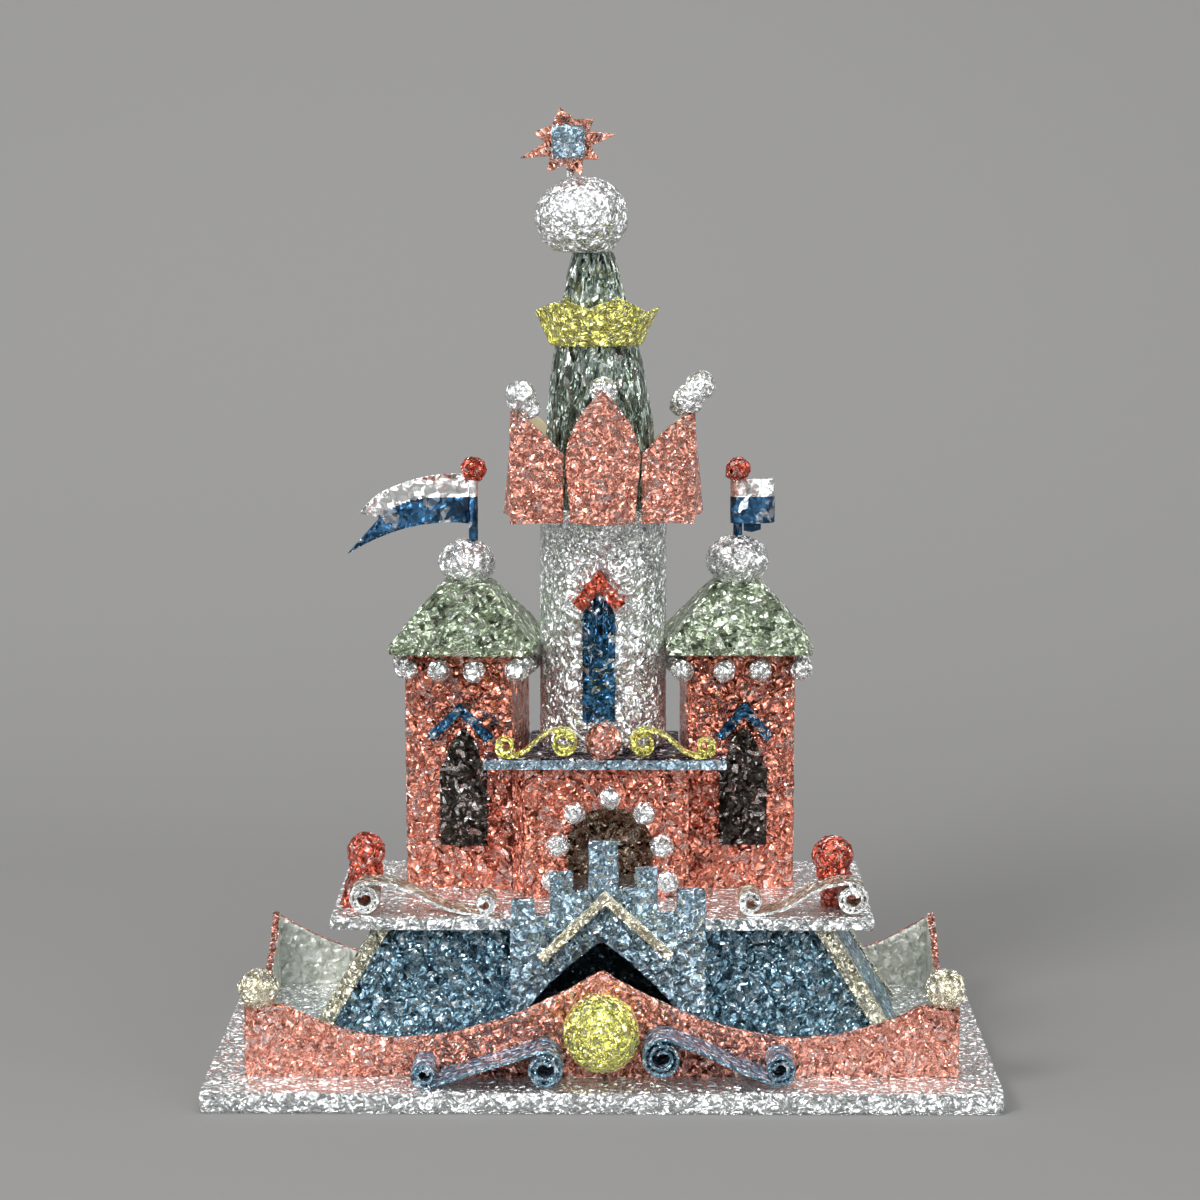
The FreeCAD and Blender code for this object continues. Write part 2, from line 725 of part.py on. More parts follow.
# The gatehouse is one card: merlons and notches, the gateway, and returns that meet the podium.
def gatehouse():
    outline = [(MERLONS[0][0], base_top)]
    for i, (left, right, top) in enumerate(MERLONS):
        outline += [(left, base_top + top), (right, base_top + top)]
        if i < len(NOTCHES):
            outline += [(right, base_top + NOTCHES[i]), (MERLONS[i + 1][0], base_top + NOTCHES[i])]
    outline.append((MERLONS[-1][1], base_top))
    front = prism(closed(outline), gate_back - size("gate_card"), gate_back)
    front = front.cut(prism(gate_arch(), gate_back - size("gate_card") - 1, gate_back + 1))
    returns = []
    clearance = size("fit_gap")
    terrace_edge = -size("terrace_front") - clearance
    slope = size("podium_front_batter") / size("podium_height")
    foot = -(size("podium_top_front") + size("podium_front_batter")) - clearance
    high = terrace_under - clearance
    top = base_top + NOTCHES[0]
    profile = [V(0, gate_back, base_top), V(0, max(foot, gate_back + 0.1), base_top),
               V(0, foot + slope * (high - base_top), high), V(0, terrace_edge, high),
               V(0, terrace_edge, top), V(0, gate_back, top)]
    side = Part.Face(Part.makePolygon(profile + profile[:1]))
    for x in (MERLONS[0][0], MERLONS[-1][1] - size("gate_card")):
        wing = side.copy()
        wing.translate(V(x, 0, 0))
        returns.append(wing.extrude(V(size("gate_card"), 0, 0)))
    return front.multiFuse(returns).removeSplitter()


feature("gatehouse", gatehouse())
card("gate_chevron", "XZ_Plane",
     chevron_outline((-size("gate_strip_left"), base_top + size("gate_strip_left_foot")),
                     (size("gate_strip_apex_x"), base_top + size("gate_strip_apex")),
                     (size("gate_strip_right"), base_top + size("gate_strip_right_foot")),
                     size("gate_strip_card")),
     "Sizes.gate_strip_depth", "Sizes.base_depth / 2 - Sizes.gate_inset")

# Terrace: a thicker card that overhangs the podium.
terrace = box("terrace", "Sizes.terrace_length", "Sizes.terrace_depth", "Sizes.terrace_card",
              "-Sizes.terrace_length / 2", "-Sizes.terrace_front", TERRACE_UNDER)
keep_piece(terrace, "terrace")
for side in ("left", "right"):
    strip = scroll(f"terrace_scroll_{side}", terrace_top, FRONT_TURNS, "Sizes.terrace_strip_width",
                   "Sizes.terrace_strip_back")
    seat(strip, terrace_top, "Sizes.terrace_strip_width", "Sizes.terrace_strip_back")


def terrace_post(side):
    """A foil ball on a gathered skirt that leans outwards at its foot."""
    hand = -1 if side == "left" else 1
    centre_x = hand * size(f"post_{side}_at")
    centre_y = -size("post_front")
    head = V(centre_x, centre_y, terrace_top + size(f"post_{side}_head_height"))
    foot = V(centre_x + hand * size("post_foot_shift"), centre_y, terrace_top)
    neck = V(centre_x, centre_y, terrace_top + size("post_neck_height"))
    up = V(0, 0, 1)
    wires = [Part.Wire(Part.makeCircle(size("post_foot_radius"), foot, up)),
             Part.Wire(Part.makeCircle(size("post_neck_radius"), neck, up)),
             Part.Wire(Part.makeCircle(size("post_neck_radius"), head, up))]
    skirt = Part.makeLoft(wires, True, True)
    return skirt.fuse(Part.makeSphere(size(f"post_{side}_head_radius"), head)).removeSplitter()


feature("terrace_post_left", terrace_post("left"))
feature("terrace_post_right", terrace_post("right"))


# Towers: square tubes, each turned a little outwards, with all that is glued to them.
def tower_place(side, what="tower"):
    """Where a tower stands: the middle of its foot, turned about the vertical; its roof turns less."""
    hand = -1 if side == "left" else 1
    turn = hand * size(f"{what}_{side}_turn")
    return FreeCAD.Placement(V(hand * size(f"tower_{side}_x"), size(f"tower_{side}_y"), 0),
                             FreeCAD.Rotation(V(0, 0, 1), turn))


def square(side, z):
    """A square wire about the vertical axis."""
    half = side / 2
    points = [V(-half, -half, z), V(half, -half, z), V(half, half, z), V(-half, half, z)]
    return Part.makePolygon(points + points[:1])


def tower(side):
    block = doc.addObject("PartDesign::Body", f"tower_{side}")
    half = size("tower_side") / 2
    outline = closed([(-half, -half), (half, -half), (half, half), (-half, half)])
    sketch = sketch_on(block, "XY_Plane", outline, TERRACE_TOP)
    pad = block.newObject("PartDesign::Pad", f"tower_{side}_tube")
    pad.Profile = sketch
    bind(pad, Length="Sizes.tower_height")
    doc.recompute()
    fillet = block.newObject("PartDesign::Fillet", f"tower_{side}_edges")
    upright_edges = [f"Edge{i + 1}" for i, edge in enumerate(pad.Shape.Edges)
                     if edge.BoundBox.ZLength > size("tower_height") / 2]
    fillet.Base = (pad, upright_edges)
    bind(fillet, Radius="Sizes.tower_edge")
    block.Placement = tower_place(side)
    return keep_piece(block, f"tower_{side}")


def tower_front(label, edges, depth, side):
    """A piece glued flat on a tower's front face."""
    body = card(label, "XZ_Plane", edges, depth, "Sizes.tower_side / 2")
    body.Placement = tower_place(side)
    return body


def eave_beads(side):
    """Foil beads round the top of a tower, one on each corner and two between."""
    half = size("tower_side") / 2
    radius = size("bead_radius")
    out = half + radius - size("bead_press")
    z = tower_top - size("bead_drop")
    tube = Part.makeBox(2 * half, 2 * half, tower_top, V(-half, -half, 0))
    beads = []
    for quarter in range(4):
        corner = (half + 0.5 * radius, -half - 0.5 * radius)
        if side == "left" and quarter == 3:
            corner = (out, size("slipped_bead") - half)
        spots = [(-half / 3, -out), (half / 3, -out), corner]
        for x, y in spots:
            bead = Part.makeSphere(radius, V(x, y, z))
            bead.rotate(V(0, 0, 0), V(0, 0, 1), 90 * quarter)
            beads.append(bead.cut(tube))
    shape = Part.makeCompound(beads)
    piece = feature(f"eave_beads_{side}", shape)
    piece.Placement = tower_place(side)
    return piece


def roof(side):
    """A hipped roof: a rolled eave, then four slopes up to a small flat neck, trimmed at the keep."""
    sections = [square(size("eave_under_side"), tower_top),
                square(size("eave_side"), tower_top + size("eave_roll")),
                square(size("roof_neck_side"), roof_top)]
    eave = Part.makeLoft(sections[:2], True, True)
    slopes = Part.makeLoft(sections[1:], True, True)
    shape = eave.fuse(slopes)
    shape.Placement = tower_place(side, "roof")
    keep_tube = Part.makeCylinder(size("keep_radius"), roof_top, V(0, size("keep_centre"), 0))
    return feature(f"roof_{side}", shape.cut(keep_tube))


for side in ("left", "right"):
    hand = -1 if side == "left" else 1
    sign = "-" if side == "left" else ""
    tower(side)
    shift = size(f"window_shift_{side}")
    tower_front(f"tower_window_{side}",
                lancet_outline(shift, terrace_top + size("window_sill"), size("window_half_width"),
                               terrace_top + size("window_shoulder"), size("window_neck_half_width"),
                               terrace_top + size("window_apex")),
                "Sizes.window_foil", side)
    span = size(f"chevron_{side}_half_span")
    shift = size(f"chevron_{side}_shift")
    tower_front(f"tower_chevron_{side}",
                chevron_outline((shift - span, terrace_top + size("chevron_foot")),
                                (shift, terrace_top + size("chevron_apex")),
                                (shift + span, terrace_top + size("chevron_foot")),
                                size("chevron_card")),
                "Sizes.chevron_depth", side)
    eave_beads(side)
    roof(side)
    x = f"{sign}Sizes.tower_{side}_x"
    y = f"Sizes.tower_{side}_y"
    ball(f"roof_ball_{side}", f"Sizes.roof_ball_{side}_radius", f"Sizes.roof_ball_{side}_half_height",
         "Sizes.roof_ball_sink", x, y, ROOF_TOP)

    # The pole stands on the flattened ball and carries a small red ball.
    pole = doc.addObject("Part::Cylinder", f"pole_{side}_stick")
    ball_top = f"({ROOF_TOP} + 2 * Sizes.roof_ball_{side}_half_height - Sizes.roof_ball_sink)"
    x = f"{x} + Sizes.pole_{side}_shift"
    bind(pole, Radius="Sizes.pole_radius", Height=f"Sizes.pole_{side}_height", Placement__Base__x=x,
         Placement__Base__y=y, Placement__Base__z=f"{ball_top} - Sizes.pole_sink")
    flagpole = doc.addObject("Part::Cut", f"flagpole_{side}")
    flagpole.Base = pole
    flagpole.Tool = doc.getObject(f"roof_ball_{side}")
    keep_piece(flagpole, f"flagpole_{side}")
    ball(f"pole_ball_{side}", "Sizes.pole_ball_radius", "Sizes.pole_ball_half_height",
         "Sizes.pole_ball_sink", x, y, f"{ball_top} + Sizes.pole_{side}_height - Sizes.pole_sink")


def pole_top(side):
    """Height of a flagpole's top."""
    return (roof_top + 2 * size(f"roof_ball_{side}_half_height") - size("roof_ball_sink")
            + size(f"pole_{side}_height") - size("pole_sink"))


def fly(side, cloth, turn):
    """Sets a flag on its pole, trimmed round the pole and the ball on top."""
    x = size(f"tower_{side}_x") * (-1 if side == "left" else 1) + size(f"pole_{side}_shift")
    cloth.Placement = FreeCAD.Placement(V(x, size(f"tower_{side}_y"), 0), FreeCAD.Rotation(V(0, 0, 1), turn))
    for name in (f"flagpole_{side}", f"pole_ball_{side}"):
        cloth = cloth.cut(doc.getObject(name).Shape)
    return feature(f"flag_{side}", cloth)


def cloth_band(midline, low, high):
    """An upright sheet of foil that follows a plan line."""
    edges = [edge.toShape() for edge in ribbon(midline, size("flag_foil"))]
    band = Part.Face(Part.Wire(Part.__sortEdges__(edges))).extrude(V(0, 0, high - low))
    band.translate(V(0, 0, low))
    return band


def streaming_flag():
    """The left flag: swallow-tailed, waved along its length and drooping towards its tails."""
    top = pole_top("left") + size("flag_over_pole")
    start = 0.6 * size("pole_radius")
    reach = size("flag_length")
    drop = size("flag_drop")
    droop = size("flag_droop")
    upper = [(start, top), (reach * 0.32, top), (reach * 0.6, top - droop * 0.13),
             (reach * 0.78, top - droop * 0.28), (reach * 0.9, top - droop * 0.49)]
    fork = (reach * 0.74, top - droop * 0.42 - drop * 0.2)
    lower = [(reach, top - droop), (reach * 0.71, top - drop - (droop - drop) * 0.4),
             (reach * 0.46, top - drop - (droop - drop) * 0.05), (start, top - drop)]
    outline = [smooth(upper), line(upper[-1], fork), line(fork, lower[0]), smooth(lower),
               line(lower[-1], upper[0])]
    wave = size("flag_wave")
    midline = [(start + (reach - start) * i / 8, wave * math.sin(math.pi * i / 4)) for i in range(9)]
    band = cloth_band(midline, top - 2 * droop, top + wave)
    return band.common(prism(outline, -reach, reach))


def curled_flag():
    """The right flag: it wraps round its pole, its fly is bent back, and one tail hangs below."""
    top = pole_top("right") + size("curled_flag_over_pole")
    start = size("pole_radius") + size("flag_foil") / 2
    reach = size("curled_flag_reach")
    depth = size("curled_flag_depth")
    foot = top - size("curled_flag_drop")
    tail = foot - size("curled_flag_tail")
    tail_reach = size("curled_flag_tail_reach")
    midline = [(-start, 0.2 * start), (-0.87 * start, -0.5 * start), (-0.5 * start, -0.87 * start),
               (0, -start), (0.4 * reach, -0.9 * start), (0.8 * reach, -0.5 * start), (reach, 0.15 * depth),
               (0.93 * reach, 0.5 * depth), (0.6 * reach, 0.85 * depth), (0.2 * reach, depth)]
    band = cloth_band(midline, tail - start, top)
    front = prism(closed([(-reach, foot), (2 * reach, foot), (2 * reach, top), (-reach, top)]),
                  -depth, 0.4 * depth)
    hang = closed([(-reach, 0.7 * foot + 0.3 * tail), (0.6 * tail_reach, tail),
                   (tail_reach, tail + start / 2), (tail_reach, foot), (2 * reach, foot),
                   (2 * reach, top - start), (-reach, top - start)])
    back = prism(hang, 0.4 * depth, 2 * depth)
    return band.common(front.fuse(back))


doc.recompute()
fly("left", streaming_flag(), size("flag_turn"))
fly("right", curled_flag(), 0)


# The porch is a folded card tube: a splayed front with an arched door, and a hall behind it.
def porch_plan(inset):
    """Plan of the porch, moved inwards by a distance."""
    front = -size("porch_front") + inset
    shoulder = size("porch_shoulder") - inset
    back = size("porch_back") - inset
    left = -size("porch_back_left") + inset
    right = size("porch_back_right") - inset
    return [(-size("porch_front_left") + inset, front), (size("porch_front_right") - inset, front),
            (size("porch_splay_right") - inset, shoulder), (right, shoulder), (right, back),
            (left, back), (left, shoulder), (-size("porch_splay_left") + inset, shoulder)]


def door_outline():
    centre = size("door_centre")
    half = size("door_half_width")
    spring = terrace_top + size("door_spring")
    apex = terrace_top + size("door_apex")
    arch = Part.Arc(V(centre + half, spring, 0), V(centre, apex, 0), V(centre - half, spring, 0))
    return [arch, line((centre - half, spring), (centre - half, terrace_top)),
            line((centre - half, terrace_top), (centre + half, terrace_top)),
            line((centre + half, terrace_top), (centre + half, spring))]


porch = card("porch", "XY_Plane", closed(porch_plan(0)), "Sizes.porch_height", TERRACE_TOP)
cut_card(porch, "XY_Plane", closed(porch_plan(size("porch_card"))), TERRACE_TOP,
         "Sizes.porch_height", reverse=True)
cut_card(porch, "XZ_Plane", door_outline(), "Sizes.porch_front", "2 * Sizes.porch_card")

# A dark card closes the doorway, set back inside the porch.
door = box("door_panel", "Sizes.porch_back_left + Sizes.porch_back_right - 2 * Sizes.porch_card",
           "Sizes.door_panel_card", "Sizes.porch_height",
           "Sizes.porch_card - Sizes.porch_back_left",
           "Sizes.door_panel_set_back - Sizes.porch_front", TERRACE_TOP)
keep_piece(door, "door_panel")

# Seven foil beads follow the door's arch.
door_beads = []
for angle in DOOR_BEAD_ANGLES:
    reach_x = size("door_half_width") + size("door_bead_reach")
    reach_z = size("door_apex") - size("door_spring") + size("door_bead_radius")
    bead = doc.addObject("Part::Sphere", "door_bead")
    bead.Placement.Rotation = FreeCAD.Rotation(V(1, 0, 0), 90)
    flat = "(Sizes.door_bead_radius - Sizes.door_bead_press)"
    cos, sin = math.cos(math.radians(angle)), math.sin(math.radians(angle))
    spread = 1.0 if sin > 0 else size("door_bead_foot_spread")
    bind(bead, Radius="Sizes.door_bead_radius", Angle1=f"-asin({flat} / Sizes.door_bead_radius)",
         Placement__Base__x=f"Sizes.door_centre + {reach_x * cos * spread:.4f}",
         Placement__Base__y=f"-Sizes.porch_front - {flat}",
         Placement__Base__z=f"{TERRACE_TOP} + Sizes.door_spring + {reach_z * sin:.4f}")
    door_beads.append(bead)
bead_row = doc.addObject("Part::Compound", "door_beads")
bead_row.Links = door_beads
keep_piece(bead_row, "door_beads")


# The porch roof is a card with wings in front of the towers and a tail between them.
def slab_plan():
    wing_back = size("slab_edge")
    left = -size("porch_back_left") - wing_back
    right = size("porch_back_right") + wing_back
    return [(-size("slab_left"), -size("slab_front")), (size("slab_right"), -size("slab_front")),
            (size("slab_right"), wing_back), (right, wing_back), (right, size("porch_back")),
            (left, size("porch_back")), (left, wing_back), (-size("slab_left"), wing_back)]


card("porch_roof", "XY_Plane", closed(slab_plan()), "Sizes.slab_card", SLAB_UNDER)
for side in ("left", "right"):
    strip = scroll(f"gable_scroll_{side}", slab_top, GABLE_TURNS, "Sizes.gable_strip_width", GABLE_BACK)
    seat(strip, slab_top, "Sizes.gable_strip_width", GABLE_BACK)
ball("gable_ball", "Sizes.gable_ball_radius", "Sizes.gable_ball_radius", "Sizes.gable_ball_sink",
     "Sizes.gable_ball_shift", "-Sizes.gable_ball_front", SLAB_TOP)

# Keep: a round tube on the porch roof.
keep = doc.addObject("Part::Cylinder", "keep")
bind(keep, Radius="Sizes.keep_radius", Height="Sizes.keep_height", Placement__Base__y="Sizes.keep_centre",
     Placement__Base__z=SLAB_TOP)
keep_piece(keep, "keep")


def keep_wrap(outline, thickness):
    """A flat outline bent round the front of the keep."""
    foot = V(0, size("keep_centre"), 0)
    radius = size("keep_radius")
    outer = Part.makeCylinder(radius + thickness, collar_top, foot)
    inner = Part.makeCylinder(radius, collar_top, foot)
    front = prism(outline, size("keep_centre") - 2 * radius, size("keep_centre"))
    return outer.cut(inner).common(front)


keep_offset = -size("keep_window_shift")
feature("keep_window",
        keep_wrap(lancet_outline(keep_offset, slab_top + size("keep_window_sill"),
                                 size("keep_window_half_width"), slab_top + size("keep_window_shoulder"),
                                 size("keep_window_half_width"), slab_top + size("keep_window_apex")),
                  size("keep_window_foil")))
feature("keep_chevron",
        keep_wrap(chevron_outline((keep_offset - size("keep_chevron_half_span"),
                                   slab_top + size("keep_chevron_foot")),
                                  (keep_offset, slab_top + size("keep_chevron_apex")),
                                  (keep_offset + size("keep_chevron_half_span"),
                                   slab_top + size("keep_chevron_foot")),
                                  size("keep_chevron_card")),
                  size("keep_chevron_depth")))

# Petal collar: a hidden square card on the keep, four folded corner petals and four creased side petals.
floor_side = "(Sizes.collar_side - 2 * Sizes.petal_card)"
floor = box("collar_floor", floor_side, floor_side, "Sizes.collar_floor_card", f"-{floor_side} / 2",
            f"Sizes.keep_centre - {floor_side} / 2", COLLAR_UNDER)
keep_piece(floor, "collar_floor")
petal_foot = collar_under - size("petal_overhang")


def corner_petal(cut=0.0):
    """The front right corner petal: two wings that meet at a fold and rise to a tip there."""
    half = size("collar_side") / 2
    wing = size("corner_petal_wing")
    shoulder = petal_foot + size("corner_petal_shoulder") - cut
    tip = petal_foot + size("corner_petal_tip") - cut
    slope = [(half - wing * u, tip - (tip - shoulder) * u ** 1.35) for u in (0.0, 0.35, 0.7, 1.0)]
    outline = [smooth(slope), line(slope[-1], (half - wing, petal_foot)),
               line((half - wing, petal_foot), (half, petal_foot)), line((half, petal_foot), (half, tip))]
    front = prism(outline, -half, -half + size("petal_card"))
    flank = front.mirror(V(0, 0, 0), V(1, 1, 0))
    return front.fuse(flank).removeSplitter()


def side_petal(cut):
    """The front petal: a leaf with a ridge that fades out towards its tip."""
    half = size("collar_side") / 2
    thick = size("petal_card")
    tip = petal_foot + size("side_petal_tip") - cut
    shoulder = petal_foot + size("side_petal_shoulder") - cut / 2
    widest = size("side_petal_half_width")
    foot = size("side_petal_foot_half_width")

    def section(ridge, z):
        points = [V(-widest, -half, z), V(0, -half - ridge, z), V(widest, -half, z),
                  V(widest, -half + thick, z), V(0, -half + thick - ridge, z), V(-widest, -half + thick, z)]
        return Part.makePolygon(points + points[:1])
    leaf = Part.makeLoft([section(size("side_petal_ridge"), petal_foot), section(0.02, tip)], True, True)
    flank = [(foot, petal_foot), (widest, shoulder)]
    crest = [(widest * (1 - u ** 2.1), shoulder + (tip - shoulder) * u) for u in (0.0, 0.25, 0.5, 0.75, 1.0)]
    other_crest = [(-x, z) for x, z in reversed(crest)]
    outline = [line(flank[0], flank[1]), smooth(crest), smooth(other_crest),
               line((-widest, shoulder), (-foot, petal_foot)), line((-foot, petal_foot), flank[0])]
    return leaf.common(prism(outline, -2 * half, 0))


def set_round(shape, quarter):
    """Turns a front or front right piece of the collar to another side."""
    copy = shape.copy()
    copy.rotate(V(0, 0, 0), V(0, 0, 1), 90 * quarter)
    copy.translate(V(0, size("keep_centre"), 0))
    return copy


def corner_wad(petal, quarter, cut):
    """Foil lobes pressed on a corner petal's tip, already in their place."""
    half = size("collar_side") / 2
    tip = petal_foot + size("corner_petal_tip") - cut
    along_x = 1 if quarter in (0, 1) else -1
    along_y = -1 if quarter in (0, 3) else 1
    wad = None
    for past_corner, inside, above, radius in WADS[quarter]:
        middle = V(along_x * (half + past_corner), size("keep_centre") + along_y * (half - inside), tip + above)
        lobe = Part.makeSphere(radius, middle)
        wad = lobe if wad is None else wad.fuse(lobe)
    return wad.cut(petal)


def side_wad(petal, radius, cut):
    """A foil lobe behind a side petal's tip."""
    inside = size("petal_card") + 0.8 * radius - size("collar_side") / 2
    tip = petal_foot + size("side_petal_tip") - cut
    return Part.makeSphere(radius, V(0, inside, tip - size("side_wad_drop"))).cut(petal)


# Petals run front right, back right, back left, front left; the two at the back are cut lower.
corner_cuts = (0.0, size("back_right_cut"), size("back_left_cut"), 0.0)
side_cuts = (0.0, size("flank_petal_cut"), 0.0, size("flank_petal_cut"))
corner_petals = []
side_petals = []
petal_wads = []
for quarter, cut in enumerate(corner_cuts):
    side = side_petal(side_cuts[quarter])
    side_radius = size("flank_wad_radius") if side_cuts[quarter] else size("side_wad_radius")
    corner_petals.append(set_round(corner_petal(cut), quarter))
    side_petals.append(set_round(side, quarter))
    petal_wads.append(corner_wad(corner_petals[-1], quarter, cut))
    petal_wads.append(set_round(side_wad(side, side_radius, side_cuts[quarter]), quarter))
feature("corner_petals", Part.makeCompound(corner_petals))
feature("side_petals", Part.makeCompound(side_petals))
feature("petal_balls", Part.makeCompound(petal_wads))


# The spire leans a little to the left as it rises.
def spire_section(share):
    """Middle and radius of the spire at a share of its height."""
    foot, top = size("spire_foot_radius"), size("spire_top_radius")
    radius = foot - (foot - top) * share ** 2.1
    return V(-size("spire_lean") * share, size("keep_centre"), collar_top + size("spire_height") * share), radius


sections = []
for share in (0.0, 0.25, 0.5, 0.7, 0.86, 1.0):
    middle, radius = spire_section(share)
    sections.append(Part.Wire(Part.makeCircle(radius, middle, V(0, 0, 1))))
spire = Part.makeLoft(sections, True, False)


def spire_sleeve():
    """The top of the spire's wrapping, doubled and cut off at a slant."""
    rings = []
    for share in (size("sleeve_foot") / size("spire_height"), 1.0):
        middle, radius = spire_section(share)
        rings.append(Part.Wire(Part.makeCircle(radius + size("spire_sleeve"), middle, V(0, 0, 1))))
    sleeve = Part.makeLoft(rings, True, True)
    foot = collar_top + size("sleeve_foot")
    far = size("collar_side") / 2
    slant = [(-far, foot - 1), (far, foot - 1), (far, foot + size("sleeve_slant_right")),
             (-far, foot + size("sleeve_slant_left"))]
    return sleeve.cut(prism(closed(slant), -far, size("keep_centre") + far))


wrapped_spire = spire.fuse(spire_sleeve()).removeSplitter()
feature("spire", wrapped_spire)


def crown():
    """A flared band round the spire; its points are uneven and its ends overlap on the left."""
    foot = collar_top + size("crown_at")
    share = size("crown_at") / size("spire_height")
    axis_x = -size("spire_lean") * share
    low, flare, high = size("crown_radius"), size("crown_flare"), size("crown_height")
    foil = size("crown_foil")

    def ring(radius):
        return Part.makeCone(radius + foil, radius + flare + foil, high).cut(
            Part.makeCone(radius, radius + flare, high))

    def lap_field(shift, y_back):
        left = -2 * (low + flare)
        sides = [(left, -1), (shift - size("crown_lap_foot"), -1),
                 (shift - size("crown_lap_top"), high + 1), (left, high + 1)]
        return prism(closed(sides), -2 * (low + flare), y_back)
    lap = size("crown_lap_depth")
    under = ring(low - foil).common(lap_field(lap, -lap / 2))
    band = ring(low).cut(lap_field(0, -lap)).fuse(under)
    for i, (angle, tip) in enumerate(CROWN_TIPS):
        following, next_tip = CROWN_TIPS[(i + 1) % len(CROWN_TIPS)]
        gap = (following - angle) % 360
        half = (low + flare + foil) * math.tan(math.radians(gap / 2))
        floor_z = high - size("crown_point") - 0.5 * (tip + next_tip)
        notch = [(-half, high - tip), (0, floor_z), (half, high - next_tip), (half, high + 1),
                 (-half, high + 1)]
        wedge = prism(closed(notch), -2 * (low + flare), 0)
        wedge.rotate(V(0, 0, 0), V(0, 0, 1), angle + gap / 2)
        band = band.cut(wedge)
    band.translate(V(axis_x, size("keep_centre"), foot))
    return band.cut(wrapped_spire)


feature("crown", crown())
ball("top_ball", "Sizes.top_ball_radius", "Sizes.top_ball_half_height", "Sizes.top_ball_sink",
     "-Sizes.top_ball_shift", "Sizes.keep_centre", SPIRE_TOP)

# The star is cut from card, with a foil cushion in front and a tab behind that holds it to the ball.
star_x = -size("star_shift")
ball_crest = spire_top + 2 * size("top_ball_half_height") - size("top_ball_sink")
star_z = ball_crest + size("star_height")


def star_outline():
    points = []
    for i, (angle, reach) in enumerate(STAR_POINTS):
        following = STAR_POINTS[(i + 1) % len(STAR_POINTS)][0]
        gap = (following - angle) % 360
        valley = size("star_valley_radius")
        for direction, radius in ((angle, reach), (angle + gap / 2, valley)):
            turn = math.radians(direction)
            points.append((star_x + radius * math.cos(turn), star_z + radius * math.sin(turn)))
    return points


star_front = "-Sizes.keep_centre"
card("star", "XZ_Plane", closed(star_outline()), "Sizes.star_card", star_front)
BALL_CREST = f"({SPIRE_TOP} + 2 * Sizes.top_ball_half_height - Sizes.top_ball_sink)"
cushion = box("cushion_block", "Sizes.cushion_side", "Sizes.cushion_depth", "Sizes.cushion_side",
              "-Sizes.star_shift - Sizes.cushion_side / 2",
              "Sizes.keep_centre - Sizes.star_card - Sizes.cushion_depth",
              f"{BALL_CREST} + Sizes.star_height - Sizes.cushion_side / 2")
doc.recompute()
star_centre = doc.addObject("Part::Fillet", "star_centre")
star_centre.Base = cushion
star_centre.Edges = [(i + 1, size("cushion_round"), size("cushion_round"))
                     for i in range(len(cushion.Shape.Edges))]
keep_piece(star_centre, "star_centre")
pin = box("star_pin", "Sizes.pin_width", "Sizes.pin_depth", "Sizes.star_height",
          "Sizes.pin_shift - Sizes.star_shift - Sizes.pin_width / 2", "Sizes.keep_centre",
          f"{BALL_CREST} - Sizes.pin_sink")
keep_piece(pin, "star_pin")

doc.recompute()
for thing in doc.Objects:
    if "Invalid" in thing.State or "Error" in thing.State:
        raise RuntimeError(f"{thing.Label} failed: {thing.State}")
for piece in pieces:
    shape = piece.Shape
    if shape.isNull() or not shape.isValid() or not shape.Solids:
        raise RuntimeError(f"{piece.Label} has no valid solid")

os.makedirs("parts", exist_ok=True)
for piece in pieces:
    piece.Shape.exportStep(os.path.join("parts", piece.Label + ".step"))
print(len(pieces), "pieces")
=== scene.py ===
import math

import bpy
from bpy.props import FloatProperty, FloatVectorProperty, IntProperty, PointerProperty
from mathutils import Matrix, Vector, noise


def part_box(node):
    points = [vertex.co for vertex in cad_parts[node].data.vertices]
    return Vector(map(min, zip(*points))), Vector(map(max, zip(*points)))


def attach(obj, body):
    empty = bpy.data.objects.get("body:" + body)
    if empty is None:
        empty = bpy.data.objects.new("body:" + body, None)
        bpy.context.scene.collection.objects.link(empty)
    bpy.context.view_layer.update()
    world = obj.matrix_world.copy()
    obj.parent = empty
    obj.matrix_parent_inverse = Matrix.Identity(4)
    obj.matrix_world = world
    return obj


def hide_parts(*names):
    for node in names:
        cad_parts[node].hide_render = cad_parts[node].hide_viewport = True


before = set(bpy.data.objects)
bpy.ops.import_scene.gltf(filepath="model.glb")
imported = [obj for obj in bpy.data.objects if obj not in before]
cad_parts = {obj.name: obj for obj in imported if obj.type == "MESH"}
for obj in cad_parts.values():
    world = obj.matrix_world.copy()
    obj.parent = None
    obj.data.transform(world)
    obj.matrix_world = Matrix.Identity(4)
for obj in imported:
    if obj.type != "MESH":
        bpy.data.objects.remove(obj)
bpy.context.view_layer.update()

bl_info = {
    "name": "Foil Castle Finish",
    "version": (1, 0, 0),
    "blender": (4, 5, 0),
    "location": "View3D > Sidebar > Castle",
    "description": "Wraps the pieces of a folded card castle in crumpled foil",
    "category": "Object",
}

MM = 0.001
BODY = "root"


def linear(code):
    """An sRGB hex colour as linear red, green, blue."""
    values = [int(code[i:i + 2], 16) / 255 for i in (1, 3, 5)]
    return tuple(v / 12.92 if v <= 0.04045 else ((v + 0.055) / 1.055) ** 2.4 for v in values)


def colour(name, description, code):
    """A colour that a user can change."""
    return FloatVectorProperty(name=name, description=description, subtype="COLOR", size=3, min=0.0, max=1.0,
                               default=linear(code))


def length(name, description, millimetres):
    """A length that a user can change, kept in metres."""
    return FloatProperty(name=name, description=description, default=millimetres * MM, min=0.0,
                         subtype="DISTANCE", unit="LENGTH")


